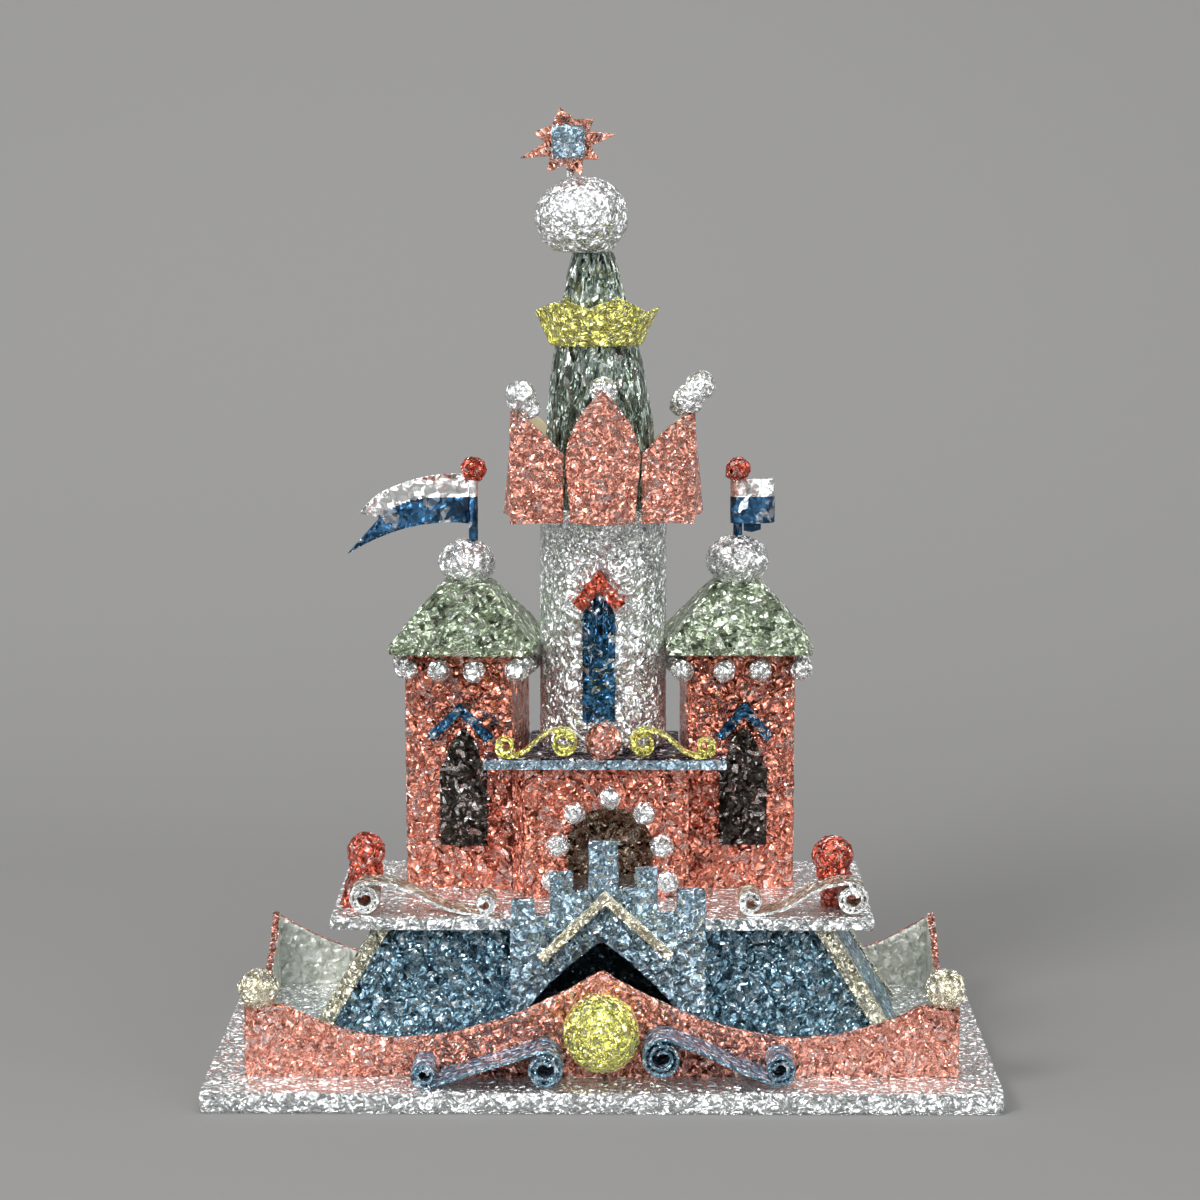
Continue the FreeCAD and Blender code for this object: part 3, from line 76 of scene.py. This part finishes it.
class CastleFoilColours(bpy.types.PropertyGroup):
    """Colours of the foils and of the bare card."""
    silver: colour("Silver foil", "Plain kitchen foil on the base, terrace and keep", "#F8FAFA")
    ball_silver: colour("Ball foil", "Plain foil pressed into balls", "#FDFEFE")
    dull_silver: colour("Dull silver foil", "Flat foil inside the walls", "#D8DBD0")
    rose: colour("Rose foil", "Faded red foil on the walls and petals", "#F0A692")
    red: colour("Red foil", "Red foil on the towers and porch", "#F29A82")
    bright_red: colour("Bright red foil", "Red foil on the posts and the small balls", "#DC6C57")
    peach: colour("Peach foil", "Paler red foil of the star", "#F8AC94")
    blue: colour("Blue foil", "Blue foil on the podium", "#84A6B8")
    window_blue: colour("Window blue", "Blue foil of the keep's window and the tower chevrons", "#335D7E")
    flag_blue: colour("Flag blue", "Blue foil on the lower half of the flags", "#345878")
    steel: colour("Steel blue foil", "Pale blue foil on the gatehouse", "#A8C2D2")
    scroll_steel: colour("Scroll foil", "Dark steel foil along the front strips", "#6C859E")
    # Painted reflection: the terrace strips are silver foil, and this brown-grey tone stands for the rose
    # walls and red towers mirrored in them.
    terrace_strip_painted_reflection: colour("Terrace strip foil", "Brown-grey foil along the terrace strips", "#B5AE9A")
    plum: colour("Plum foil", "Near-black foil on the porch roof", "#3A2C40")
    green: colour("Green foil", "Sage green foil on the hipped roofs", "#C2D0B4")
    dark_green: colour("Bottle green foil", "Dark green foil on the spire", "#8E9C91")
    black: colour("Black foil", "Black-brown foil of the windows", "#443E39")
    # Painted light: this colour is far paler than the brown-black door foil, to brighten the panel that sits
    # back in the porch's recess, where shade falls.
    door: colour("Door foil", "Brown-black foil of the door", "#E8D4BA")
    gold: colour("Gold foil", "Yellow gold foil on the boss and the crown", "#FEFA90")
    pale_gold: colour("Pale gold foil", "Champagne foil on the small balls and the strips", "#F6F0D6")
    cream: colour("Cream card", "Bare card inside the petals", "#CDBF9F")
    backdrop: colour("Backdrop", "Plain floor and backdrop", "#7A7978")


class CastleFoilSizes(bpy.types.PropertyGroup):
    """Sizes of the crumples and of the meshes that carry them."""
    facet: length("Facet", "Length of one long facet in the crumpled foil", 2.4)
    small_facet: length("Small facet", "Width of the finest facets", 0.8)
    dent: length("Dent", "Depth of the dents in card under foil", 0.24)
    dent_width: length("Dent width", "Width of the dents in card under foil", 3.4)
    ball_dent: length("Ball dent", "Depth of the dents in a pressed foil ball", 0.45)
    card_grid: length("Card grid", "Mesh spacing on thick card", 1.2)
    seed: IntProperty(name="Seed", description="Start of the crumple noise", default=7)


def colours():
    return bpy.context.scene.castle_foil_colours


def sizes():
    return bpy.context.scene.castle_foil_sizes


def add_node(material, kind, inputs=None, links=None, **settings):
    """Adds one node, sets its properties and inputs, and links its inputs from other nodes' outputs."""
    node = material.node_tree.nodes.new(kind)
    for name, value in settings.items():
        setattr(node, name, value)
    for name, value in (inputs or {}).items():
        node.inputs[name].default_value = value
    for name, socket in (links or {}).items():
        material.node_tree.links.new(socket, node.inputs[name])
    return node


def arithmetic(material, operation, first, second):
    """One sum of two sockets or numbers."""
    inputs, links = {}, {}
    for slot, term in ((0, first), (1, second)):
        (inputs if isinstance(term, float) else links)[slot] = term
    return add_node(material, "ShaderNodeMath", inputs, links, operation=operation).outputs[0]


def new_material(name):
    """An empty node material."""
    material = bpy.data.materials.new(name)
    material.use_nodes = True
    material.node_tree.nodes.clear()
    return material


def facets(material, place, width, turn, stretch):
    """A net of flat facets, each tilted its own way: its height, and a random tone for each facet."""
    turned = add_node(material, "ShaderNodeVectorRotate", {"Rotation": turn}, {"Vector": place},
                      rotation_type="EULER_XYZ")
    scaled = add_node(material, "ShaderNodeMapping", {"Scale": tuple(s / width for s in stretch)},
                      {"Vector": turned.outputs["Vector"]})
    cells = add_node(material, "ShaderNodeTexVoronoi", {"Scale": 1.0}, {"Vector": scaled.outputs["Vector"]},
                     feature="F1")
    tilt = add_node(material, "ShaderNodeVectorMath", {1: (0.5, 0.5, 0.5)}, {0: cells.outputs["Color"]},
                    operation="SUBTRACT")
    from_middle = add_node(material, "ShaderNodeVectorMath", {},
                           {0: scaled.outputs["Vector"], 1: cells.outputs["Position"]}, operation="SUBTRACT")
    slope = add_node(material, "ShaderNodeVectorMath", {},
                     {0: tilt.outputs["Vector"], 1: from_middle.outputs["Vector"]}, operation="DOT_PRODUCT")
    height = arithmetic(material, "MULTIPLY", slope.outputs["Value"], width)
    tone = add_node(material, "ShaderNodeSeparateColor", {}, {"Color": cells.outputs["Color"]}).outputs[0]
    return height, tone


def foil(name, base, roughness=0.2, glint=0.45, shade=0.25, grain=1.0, streak=0.93, relief=0.75,
         lengthwise=(1.0, 1.0, 1.0), metallic=1.0):
    """Crumpled kitchen foil: long flat facets at all angles, tilted by a bump, with painted shade on the
    facets of lowest random tone and painted highlights on those of highest tone.

    The facets of the real foil are 0.5 to 2.5 mm long and half as wide.
    """
    material = new_material(name)
    place = add_node(material, "ShaderNodeTexCoord")
    drawn = add_node(material, "ShaderNodeMapping", {"Scale": lengthwise},
                     {"Vector": place.outputs["Object"]})
    # A slow warp bends the straight borders of the facets, so that the creases wander.
    warp = add_node(material, "ShaderNodeTexNoise", {"Scale": 0.9 / sizes().facet, "Detail": 0.0},
                    {"Vector": drawn.outputs["Vector"]})
    centred = add_node(material, "ShaderNodeVectorMath", {1: (0.5, 0.5, 0.5)}, {0: warp.outputs["Color"]},
                       operation="SUBTRACT")
    shift = add_node(material, "ShaderNodeVectorMath", {"Scale": 0.8 * sizes().facet},
                     {0: centred.outputs["Vector"]}, operation="SCALE")
    moved = add_node(material, "ShaderNodeVectorMath", {},
                     {0: drawn.outputs["Vector"], 1: shift.outputs["Vector"]}, operation="ADD")
    bent = moved.outputs["Vector"]
    long_facet = sizes().facet * grain
    small_facet = sizes().small_facet * grain
    nets = [facets(material, bent, long_facet * 1.15, (0.25, 0.6, 0.0), (3.0, 2.2, 0.9)),
            facets(material, bent, long_facet, (-0.2, 1.75, 0.3), (2.8, 2.2, 0.9)),
            facets(material, bent, long_facet * 0.85, (0.3, 2.7, -0.3), (2.8, 2.2, 0.9)),
            facets(material, bent, small_facet, (0.0, 0.4, 0.0), (1.0, 1.0, 1.0))]
    height, total = nets[0]
    for other, tone in nets[1:3]:
        height = arithmetic(material, "ADD", height, other)
        total = arithmetic(material, "ADD", total, tone)
    height = arithmetic(material, "ADD", height, arithmetic(material, "MULTIPLY", nets[3][0], 0.35))
    total = arithmetic(material, "ADD", total, arithmetic(material, "MULTIPLY", nets[3][1], 0.3))
    peak = arithmetic(material, "MAXIMUM", nets[0][1], nets[1][1])
    peak = arithmetic(material, "MAXIMUM", peak, nets[2][1])
    bump = add_node(material, "ShaderNodeBump", {"Strength": 1.0, "Distance": relief}, {"Height": height})
    # Painted light: the ramp colours each facet by its random tone, not by how it faces the lamps. The
    # lowest tones take the painted shade colour, the highest the painted highlight colour, and the middle
    # ones the plain foil colour.
    mean = arithmetic(material, "MULTIPLY", total, 1.0 / 3.3)
    ramp = add_node(material, "ShaderNodeValToRGB", {}, {"Fac": mean})
    # The painted highlight colour, pale: the foil colour lifted towards white by glint, then scaled so that
    # its brightest channel is 1.
    lifted = [c + (1.0 - c) * glint for c in base]
    pale = tuple(c / max(lifted) for c in lifted)
    half_painted_highlight = tuple(0.7 * a + 0.3 * b for a, b in zip(base, pale))
    # The painted shade colour: the foil colour times shade.
    painted_shade_colour = tuple(c * shade for c in base)
    half_painted_shade = tuple(0.5 * (a + b) for a, b in zip(base, painted_shade_colour))
    stops = ramp.color_ramp.elements
    stops[0].position = 0.22
    stops[0].color = (*painted_shade_colour, 1.0)
    stops[1].position = 0.8
    stops[1].color = (*pale, 1.0)
    for position, value in ((0.32, half_painted_shade), (0.42, base), (0.6, base), (0.7, half_painted_highlight)):
        stops.new(position).color = (*value, 1.0)
    # Painted highlight: the facets whose random tone is highest in any of the three long nets are painted
    # the pale colour as glint streaks, wherever the lamps are.
    painted_glint_mask = add_node(material, "ShaderNodeMapRange", {"From Min": streak, "From Max": streak + 0.02},
                     {"Value": peak})
    with_painted_glints = add_node(material, "ShaderNodeMix", {"B": (*pale, 1.0)},
                   {"Factor": painted_glint_mask.outputs["Result"], "A": ramp.outputs["Color"]}, data_type="RGBA")
    shader = add_node(material, "ShaderNodeBsdfPrincipled", {"Metallic": metallic, "Roughness": roughness},
                      {"Base Color": with_painted_glints.outputs["Result"], "Normal": bump.outputs["Normal"]})
    add_node(material, "ShaderNodeOutputMaterial", {}, {"Surface": shader.outputs["BSDF"]})
    return material


def card(name, base):
    """Bare uncoated card: matt, with faint fibres about 0.5 mm long."""
    material = new_material(name)
    place = add_node(material, "ShaderNodeTexCoord")
    fibres = add_node(material, "ShaderNodeTexNoise", {"Scale": 1.0 / (0.5 * MM), "Detail": 4.0},
                      {"Vector": place.outputs["Object"]})
    ramp = add_node(material, "ShaderNodeValToRGB", {}, {"Fac": fibres.outputs["Fac"]})
    ramp.color_ramp.elements[0].color = (*[c * 0.8 for c in base], 1.0)
    ramp.color_ramp.elements[1].color = (*base, 1.0)
    shader = add_node(material, "ShaderNodeBsdfPrincipled", {"Roughness": 0.85},
                      {"Base Color": ramp.outputs["Color"]})
    add_node(material, "ShaderNodeOutputMaterial", {}, {"Surface": shader.outputs["BSDF"]})
    return material


def backdrop_material():
    """Seamless backdrop paper: plain, matt and pale."""
    material = new_material("Backdrop paper")
    shader = add_node(material, "ShaderNodeBsdfPrincipled",
                      {"Base Color": (*colours().backdrop, 1.0), "Roughness": 1.0,
                       "Specular IOR Level": 0.1})
    add_node(material, "ShaderNodeOutputMaterial", {}, {"Surface": shader.outputs["BSDF"]})
    return material


def deselect():
    if bpy.context.object and bpy.context.object.mode != "OBJECT":
        bpy.ops.object.mode_set(mode="OBJECT")
    bpy.ops.object.select_all(action="DESELECT")


def pick(piece):
    """Makes a piece the only selected and active one."""
    deselect()
    piece.select_set(True)
    bpy.context.view_layer.objects.active = piece


def copy_of(node, name):
    """A new object with its own merged copy of a CAD node's mesh."""
    pick(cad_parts[node])
    bpy.ops.object.duplicate(linked=False)
    piece = bpy.context.object
    piece.parent = None
    for key in list(piece.keys()):
        del piece[key]
    piece.name = name
    piece.data.name = name
    bpy.ops.object.mode_set(mode="EDIT")
    bpy.ops.mesh.select_all(action="SELECT")
    bpy.ops.mesh.remove_doubles(threshold=0.00001)
    bpy.ops.object.mode_set(mode="OBJECT")
    return piece


def regrid(piece, spacing):
    """Gives a closed piece an even grid of small faces, with the soft edges of folded foil."""
    pick(piece)
    piece.data.remesh_voxel_size = spacing
    piece.data.remesh_voxel_adaptivity = 0.0
    bpy.ops.object.voxel_remesh()


def crease_height(point, width):
    """Height of a crumple at a point, between about -1 and 1: ridges of one net less those of another."""
    near = noise.voronoi(point / width)[0]
    coarse = near[1] - near[0]
    near = noise.voronoi((point + Vector((0.37, 0.11, 0.73)) * width) / (0.62 * width))[0]
    fine = near[1] - near[0]
    return 1.3 * coarse - 1.0 * fine


def crumple(piece, width, depth, wave=0.0, wave_width=14 * MM, keep_below=None):
    """Dents a piece along its normals and bends it in slow waves; points under keep_below stay."""
    mesh = piece.data
    normals = [v.normal.copy() for v in mesh.vertices]
    for vertex, normal in zip(mesh.vertices, normals):
        place = vertex.co.copy()
        if keep_below is not None and place.z < keep_below:
            continue
        move = normal * depth * crease_height(place, width)
        if wave > 0.0:
            move += noise.noise_vector(place / wave_width) * wave
        vertex.co = place + move
    mesh.update()


def smooth(piece, angle=math.radians(38)):
    """Smooth shading that keeps edges sharper than the angle."""
    pick(piece)
    bpy.ops.object.shade_smooth_by_angle(angle=angle)


def paint(piece, *names):
    """Replaces a piece's materials."""
    piece.data.materials.clear()
    for name in names:
        piece.data.materials.append(bpy.data.materials[name])


def wrap(node, *finishes, spacing=None, width=None, depth=None, wave=0.0, second=None):
    """Foil over a CAD node, as a new crumpled piece in its place.

    Faces that the second test picks, by their middle and normal, take the second finish.
    """
    piece = copy_of(node, node + "_foil")
    regrid(piece, spacing or sizes().card_grid)
    paint(piece, *finishes)
    for face in piece.data.polygons:
        face.material_index = int(bool(second and second(face.center, face.normal)))
    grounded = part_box(node)[0][2] < 0.5 * MM
    crumple(piece, width or sizes().dent_width, sizes().dent if depth is None else depth, wave,
            keep_below=0.4 * MM if grounded else None)
    smooth(piece)
    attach(piece, BODY)
    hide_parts(node)
    return piece


def facing(direction, amount=0.6):
    """A test that picks the faces turned in one direction."""
    towards = Vector(direction)
    return lambda middle, normal: normal.dot(towards) > amount


class CASTLE_OT_foils(bpy.types.Operator):
    """Makes the foils and the card that the castle is made of"""
    bl_idname = "castle.foils"
    bl_label = "Make the foils"

    def execute(self, context):
        c = colours()
        # In these calls, shade sets how far the facets of painted shade are darkened, glint how pale the
        # painted highlights are, and streak how few facets get painted glint streaks.
        foil("Silver foil", c.silver, roughness=0.26, grain=0.75, shade=0.6, relief=0.6)
        foil("Pressed silver foil", c.ball_silver, roughness=0.26, grain=0.8, shade=0.6, relief=0.65)
        foil("Smooth silver foil", c.ball_silver, roughness=0.3, grain=2.2, shade=0.7, relief=0.35)
        foil("Smooth blue foil", c.flag_blue, roughness=0.3, grain=2.2, shade=0.6, relief=0.35, streak=0.97)
        foil("Dull silver foil", c.dull_silver, roughness=0.45, grain=1.4, shade=0.75, relief=0.35,
             glint=0.4, metallic=0.5)
        foil("Rose foil", c.rose, grain=0.8)
        foil("Red foil", c.red)
        foil("Bright red foil", c.bright_red, grain=0.8)
        foil("Peach foil", c.peach, grain=0.8)
        foil("Blue foil", c.blue)
        foil("Window blue foil", c.window_blue)
        foil("Steel blue foil", c.steel)
        foil("Scroll foil", c.scroll_steel, grain=0.8, metallic=0.6)
        # The terrace strips' brown-grey is a painted reflection on silver foil.
        foil("Terrace strip foil", c.terrace_strip_painted_reflection, grain=0.8, metallic=0.7)
        foil("Plum foil", c.plum, glint=0.2)
        foil("Green foil", c.green, grain=1.3, shade=0.25, relief=1.0)
        foil("Bottle green foil", c.dark_green, shade=0.12, relief=1.1, lengthwise=(1.2, 1.2, 0.5))
        foil("Black foil", c.black, glint=0.3, streak=0.955)
        foil("Door foil", c.door, streak=0.955)
        foil("Gold foil", c.gold, grain=0.7, glint=0.5, shade=0.5)
        foil("Pale gold foil", c.pale_gold, grain=0.7, shade=0.5)
        card("Cream card", c.cream)
        return {"FINISHED"}


class CASTLE_OT_base(bpy.types.Operator):
    """Wraps the base board in silver foil"""
    bl_idname = "castle.base"
    bl_label = "Base board"

    def execute(self, context):
        wrap("base_board", "Silver foil", spacing=1.6 * MM, width=4.5 * MM)
        return {"FINISHED"}


class CASTLE_OT_walls(bpy.types.Operator):
    """Wraps the enclosure walls: rose foil outside, silver foil inside"""
    bl_idname = "castle.walls"
    bl_label = "Enclosure walls"

    def execute(self, context):
        for node, inwards in (("front_wall", (0, 1, 0)), ("back_wall", (0, -1, 0)),
                              ("side_wall_left", (1, 0, 0)), ("side_wall_right", (-1, 0, 0))):
            wrap(node, "Rose foil", "Dull silver foil", spacing=0.85 * MM, depth=0.16 * MM, wave=0.3 * MM,
                 second=facing(inwards))
        return {"FINISHED"}


class CASTLE_OT_podium(bpy.types.Operator):
    """Wraps the podium, its corner strips and the terrace"""
    bl_idname = "castle.podium"
    bl_label = "Podium and terrace"

    def execute(self, context):
        for node in ("podium_front", "podium_back", "podium_left", "podium_right"):
            wrap(node, "Blue foil", spacing=1.0 * MM)
        wrap("corner_strips", "Pale gold foil", spacing=0.48 * MM, depth=0.1 * MM, wave=0.15 * MM)
        wrap("terrace", "Silver foil")
        return {"FINISHED"}


class CASTLE_OT_gate(bpy.types.Operator):
    """Wraps the gatehouse and its chevron"""
    bl_idname = "castle.gate"
    bl_label = "Gatehouse"

    def execute(self, context):
        wrap("gatehouse", "Steel blue foil", spacing=0.85 * MM, wave=0.2 * MM)
        wrap("gate_chevron", "Pale gold foil", spacing=0.55 * MM, depth=0.2 * MM)
        return {"FINISHED"}


class CASTLE_OT_towers(bpy.types.Operator):
    """Wraps the two towers, their windows, chevrons and roofs"""
    bl_idname = "castle.towers"
    bl_label = "Towers"

    def execute(self, context):
        for side in ("left", "right"):
            wrap(f"tower_{side}", "Red foil", spacing=1.15 * MM)
            wrap(f"tower_window_{side}", "Black foil", spacing=0.4 * MM, depth=0.1 * MM)
            wrap(f"tower_chevron_{side}", "Window blue foil", spacing=0.48 * MM, depth=0.2 * MM,
                 wave=0.25 * MM)
            wrap(f"roof_{side}", "Green foil", spacing=1.0 * MM, width=4.0 * MM, depth=0.35 * MM)
        return {"FINISHED"}


class CASTLE_OT_porch(bpy.types.Operator):
    """Wraps the porch, its door and its roof"""
    bl_idname = "castle.porch"
    bl_label = "Porch"

    def execute(self, context):
        wrap("porch", "Red foil", spacing=0.8 * MM, depth=0.16 * MM)
        wrap("door_panel", "Door foil", spacing=0.55 * MM, depth=0.2 * MM)
        wrap("porch_roof", "Steel blue foil", "Plum foil", spacing=0.85 * MM, second=facing((0, 0, 1), 0.7))
        return {"FINISHED"}


class CASTLE_OT_keep(bpy.types.Operator):
    """Wraps the round keep, its window and chevron, the petal collar, spire and crown"""
    bl_idname = "castle.keep"
    bl_label = "Keep"

    def execute(self, context):
        wrap("keep", "Silver foil", spacing=1.15 * MM)
        wrap("keep_window", "Window blue foil", spacing=0.35 * MM, depth=0.06 * MM)
        wrap("keep_chevron", "Bright red foil", spacing=0.48 * MM, depth=0.2 * MM)
        wrap("collar_floor", "Silver foil")
        low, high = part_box("keep")
        axis_y = 0.5 * (low[1] + high[1])

        def inside(middle, normal):
            """True where a petal's face looks towards the keep's axis."""
            across, back = -middle.x, axis_y - middle.y
            if abs(across) > abs(back):
                return normal.x * across > 0.5 * abs(across)
            return normal.y * back > 0.5 * abs(back)
        for node in ("corner_petals", "side_petals"):
            wrap(node, "Rose foil", "Cream card", spacing=0.55 * MM, depth=0.12 * MM, wave=0.35 * MM,
                 second=inside)
        wrap("spire", "Bottle green foil", spacing=1.0 * MM, depth=0.25 * MM)
        wrap("crown", "Gold foil", spacing=0.4 * MM, depth=0.12 * MM, wave=0.3 * MM)
        return {"FINISHED"}


class CASTLE_OT_balls(bpy.types.Operator):
    """Crumples every foil ball, bead and wad"""
    bl_idname = "castle.balls"
    bl_label = "Foil balls"

    def execute(self, context):
        for node, finish, grid in (
                ("gate_boss", "Gold foil", 0.7), ("corner_ball_left", "Pale gold foil", 0.55),
                ("corner_ball_right", "Pale gold foil", 0.55), ("top_ball", "Pressed silver foil", 0.75),
                ("roof_ball_left", "Pressed silver foil", 0.62),
                ("roof_ball_right", "Pressed silver foil", 0.62),
                ("eave_beads_left", "Pressed silver foil", 0.48),
                ("eave_beads_right", "Pressed silver foil", 0.48),
                ("door_beads", "Pressed silver foil", 0.48), ("petal_balls", "Pressed silver foil", 0.55),
                ("gable_ball", "Rose foil", 0.55), ("pole_ball_left", "Bright red foil", 0.48),
                ("pole_ball_right", "Bright red foil", 0.48), ("terrace_post_left", "Bright red foil", 0.62),
                ("terrace_post_right", "Bright red foil", 0.62)):
            wrap(node, finish, spacing=grid * MM, width=2.1 * MM, depth=sizes().ball_dent, wave=0.5 * MM)
        return {"FINISHED"}


class CASTLE_OT_strips(bpy.types.Operator):
    """Wraps the quilled strips"""
    bl_idname = "castle.strips"
    bl_label = "Quilled strips"

    def execute(self, context):
        rim = facing((0, -1, 0))
        for side in ("left", "right"):
            wrap(f"front_scroll_{side}", "Scroll foil", "Blue foil", spacing=0.32 * MM, depth=0.06 * MM,
                 second=rim)
            wrap(f"terrace_scroll_{side}", "Terrace strip foil", "Silver foil", spacing=0.32 * MM,
                 depth=0.06 * MM, second=rim)
            wrap(f"gable_scroll_{side}", "Gold foil", spacing=0.4 * MM, depth=0.06 * MM)
        return {"FINISHED"}


class CASTLE_OT_flags(bpy.types.Operator):
    """Wraps the flags and their poles: silver above and blue below"""
    bl_idname = "castle.flags"
    bl_label = "Flags"

    def execute(self, context):
        level = 145.4 * MM
        pole_x = 0.5 * (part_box("flagpole_left")[0][0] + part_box("flagpole_left")[1][0])

        def under(middle, normal):
            """True below the seam, which follows the flag's droop away from the pole."""
            out = max(0.0, pole_x - 10 * MM - middle.x) / MM if middle.x < 0 else 0.0
            return middle.z < level - 0.0225 * out ** 2 * MM
        for side in ("left", "right"):
            wrap(f"flag_{side}", "Smooth silver foil", "Smooth blue foil", spacing=0.4 * MM, depth=0.08 * MM,
                 second=under)
            wrap(f"flagpole_{side}", "Smooth silver foil", "Smooth blue foil", spacing=0.4 * MM,
                 depth=0.1 * MM, second=lambda middle, normal: middle.z < level)
        return {"FINISHED"}


class CASTLE_OT_star(bpy.types.Operator):
    """Wraps the star, its cushion and its tab"""
    bl_idname = "castle.star"
    bl_label = "Star"

    def execute(self, context):
        wrap("star", "Peach foil", spacing=0.4 * MM, depth=0.12 * MM)
        wrap("star_centre", "Steel blue foil", spacing=0.4 * MM, depth=0.2 * MM)
        wrap("star_pin", "Silver foil", spacing=0.4 * MM, depth=0.1 * MM)
        return {"FINISHED"}


class CASTLE_OT_stage(bpy.types.Operator):
    """Sets the floor, the soft lights and the camera"""
    bl_idname = "castle.stage"
    bl_label = "Stage"

    def execute(self, context):
        backdrop_sweep()
        lamps()
        camera()
        return {"FINISHED"}


def backdrop_sweep():
    """A pale floor that curves up behind the castle into a wall."""
    deselect()
    bpy.ops.mesh.primitive_plane_add(size=1.0, location=(0, 0, 0))
    floor = bpy.context.object
    floor.name = "backdrop"
    start, radius, side, front, top = 0.22, 0.45, 2.6, -2.6, 2.2
    steps = 32
    profile = [(front, 0.0)]
    for i in range(steps + 1):
        turn = math.pi / 2 * i / steps
        profile.append((start + radius * math.sin(turn), radius * (1 - math.cos(turn))))
    profile.append((start + radius, top))
    count = len(profile)
    mesh = bpy.data.meshes.new("backdrop")
    mesh.from_pydata([(x, y, z) for x in (-side, side) for y, z in profile], [],
                     [(i, i + count, i + count + 1, i + 1) for i in range(count - 1)])
    floor.data = mesh
    for face in mesh.polygons:
        face.use_smooth = True
    mesh.materials.append(backdrop_material())


def lamp(name, energy, size, location, target):
    """One soft area light that looks at a point."""
    data = bpy.data.lights.new(name, "AREA")
    data.shape = "RECTANGLE"
    data.size, data.size_y = size
    data.energy = energy
    light = bpy.data.objects.new(name, data)
    light.location = location
    light.rotation_euler = (Vector(target) - Vector(location)).to_track_quat("-Z", "Y").to_euler()
    bpy.context.scene.collection.objects.link(light)
    return light


def lamps():
    """A large soft key from the upper left, a weaker fill, a top light and one on the wall behind."""
    centre = (0.0, 0.0, 0.12)
    lamp("key", 13.0, (0.45, 0.4), (-0.75, -0.9, 0.95), centre)
    lamp("fill", 2.0, (0.6, 0.6), (0.95, -0.85, 0.55), centre)
    lamp("top", 2.0, (0.7, 0.7), (0.05, -0.1, 1.1), centre)
    lamp("wall", 1.0, (0.8, 0.2), (0.0, 0.3, 0.8), (0.0, 0.67, 0.4))
    world = bpy.data.worlds.new("Studio")
    world.use_nodes = True
    background = world.node_tree.nodes["Background"]
    background.inputs["Color"].default_value = (*linear("#F2F4F5"), 1.0)
    background.inputs["Strength"].default_value = 1.55
    bpy.context.scene.world = world
    bpy.context.scene.view_settings.view_transform = "Standard"


def camera():
    """The camera of the photograph, a little above the crown of the petals, looking slightly down."""
    data = bpy.data.cameras.new("camera")
    data.lens = 97.56
    data.sensor_width = 36.0
    view = bpy.data.objects.new("camera", data)
    view.location = (0.0055, -0.8391, 0.24555)
    view.rotation_euler = (math.pi / 2 - 0.14831, 0.0, 0.0074155)
    bpy.context.scene.collection.objects.link(view)
    bpy.context.scene.camera = view


class CASTLE_PT_panel(bpy.types.Panel):
    """Lists the castle's pieces in the sidebar"""
    bl_label = "Castle"
    bl_space_type = "VIEW_3D"
    bl_region_type = "UI"
    bl_category = "Castle"

    def draw(self, context):
        for operator in OPERATORS:
            self.layout.operator(operator.bl_idname)


OPERATORS = (CASTLE_OT_foils, CASTLE_OT_base, CASTLE_OT_walls, CASTLE_OT_podium, CASTLE_OT_gate,
             CASTLE_OT_towers, CASTLE_OT_porch, CASTLE_OT_keep, CASTLE_OT_balls, CASTLE_OT_strips,
             CASTLE_OT_flags, CASTLE_OT_star, CASTLE_OT_stage)
CLASSES = (CastleFoilColours, CastleFoilSizes, *OPERATORS, CASTLE_PT_panel)


def register():
    for cls in CLASSES:
        bpy.utils.register_class(cls)
    bpy.types.Scene.castle_foil_colours = PointerProperty(type=CastleFoilColours)
    bpy.types.Scene.castle_foil_sizes = PointerProperty(type=CastleFoilSizes)


def unregister():
    del bpy.types.Scene.castle_foil_sizes
    del bpy.types.Scene.castle_foil_colours
    for cls in reversed(CLASSES):
        bpy.utils.unregister_class(cls)


def main():
    register()
    noise.seed_set(sizes().seed)
    for operator in OPERATORS:
        group, name = operator.bl_idname.split(".")
        getattr(getattr(bpy.ops, group), name)()


if __name__ == "__main__":
    main()
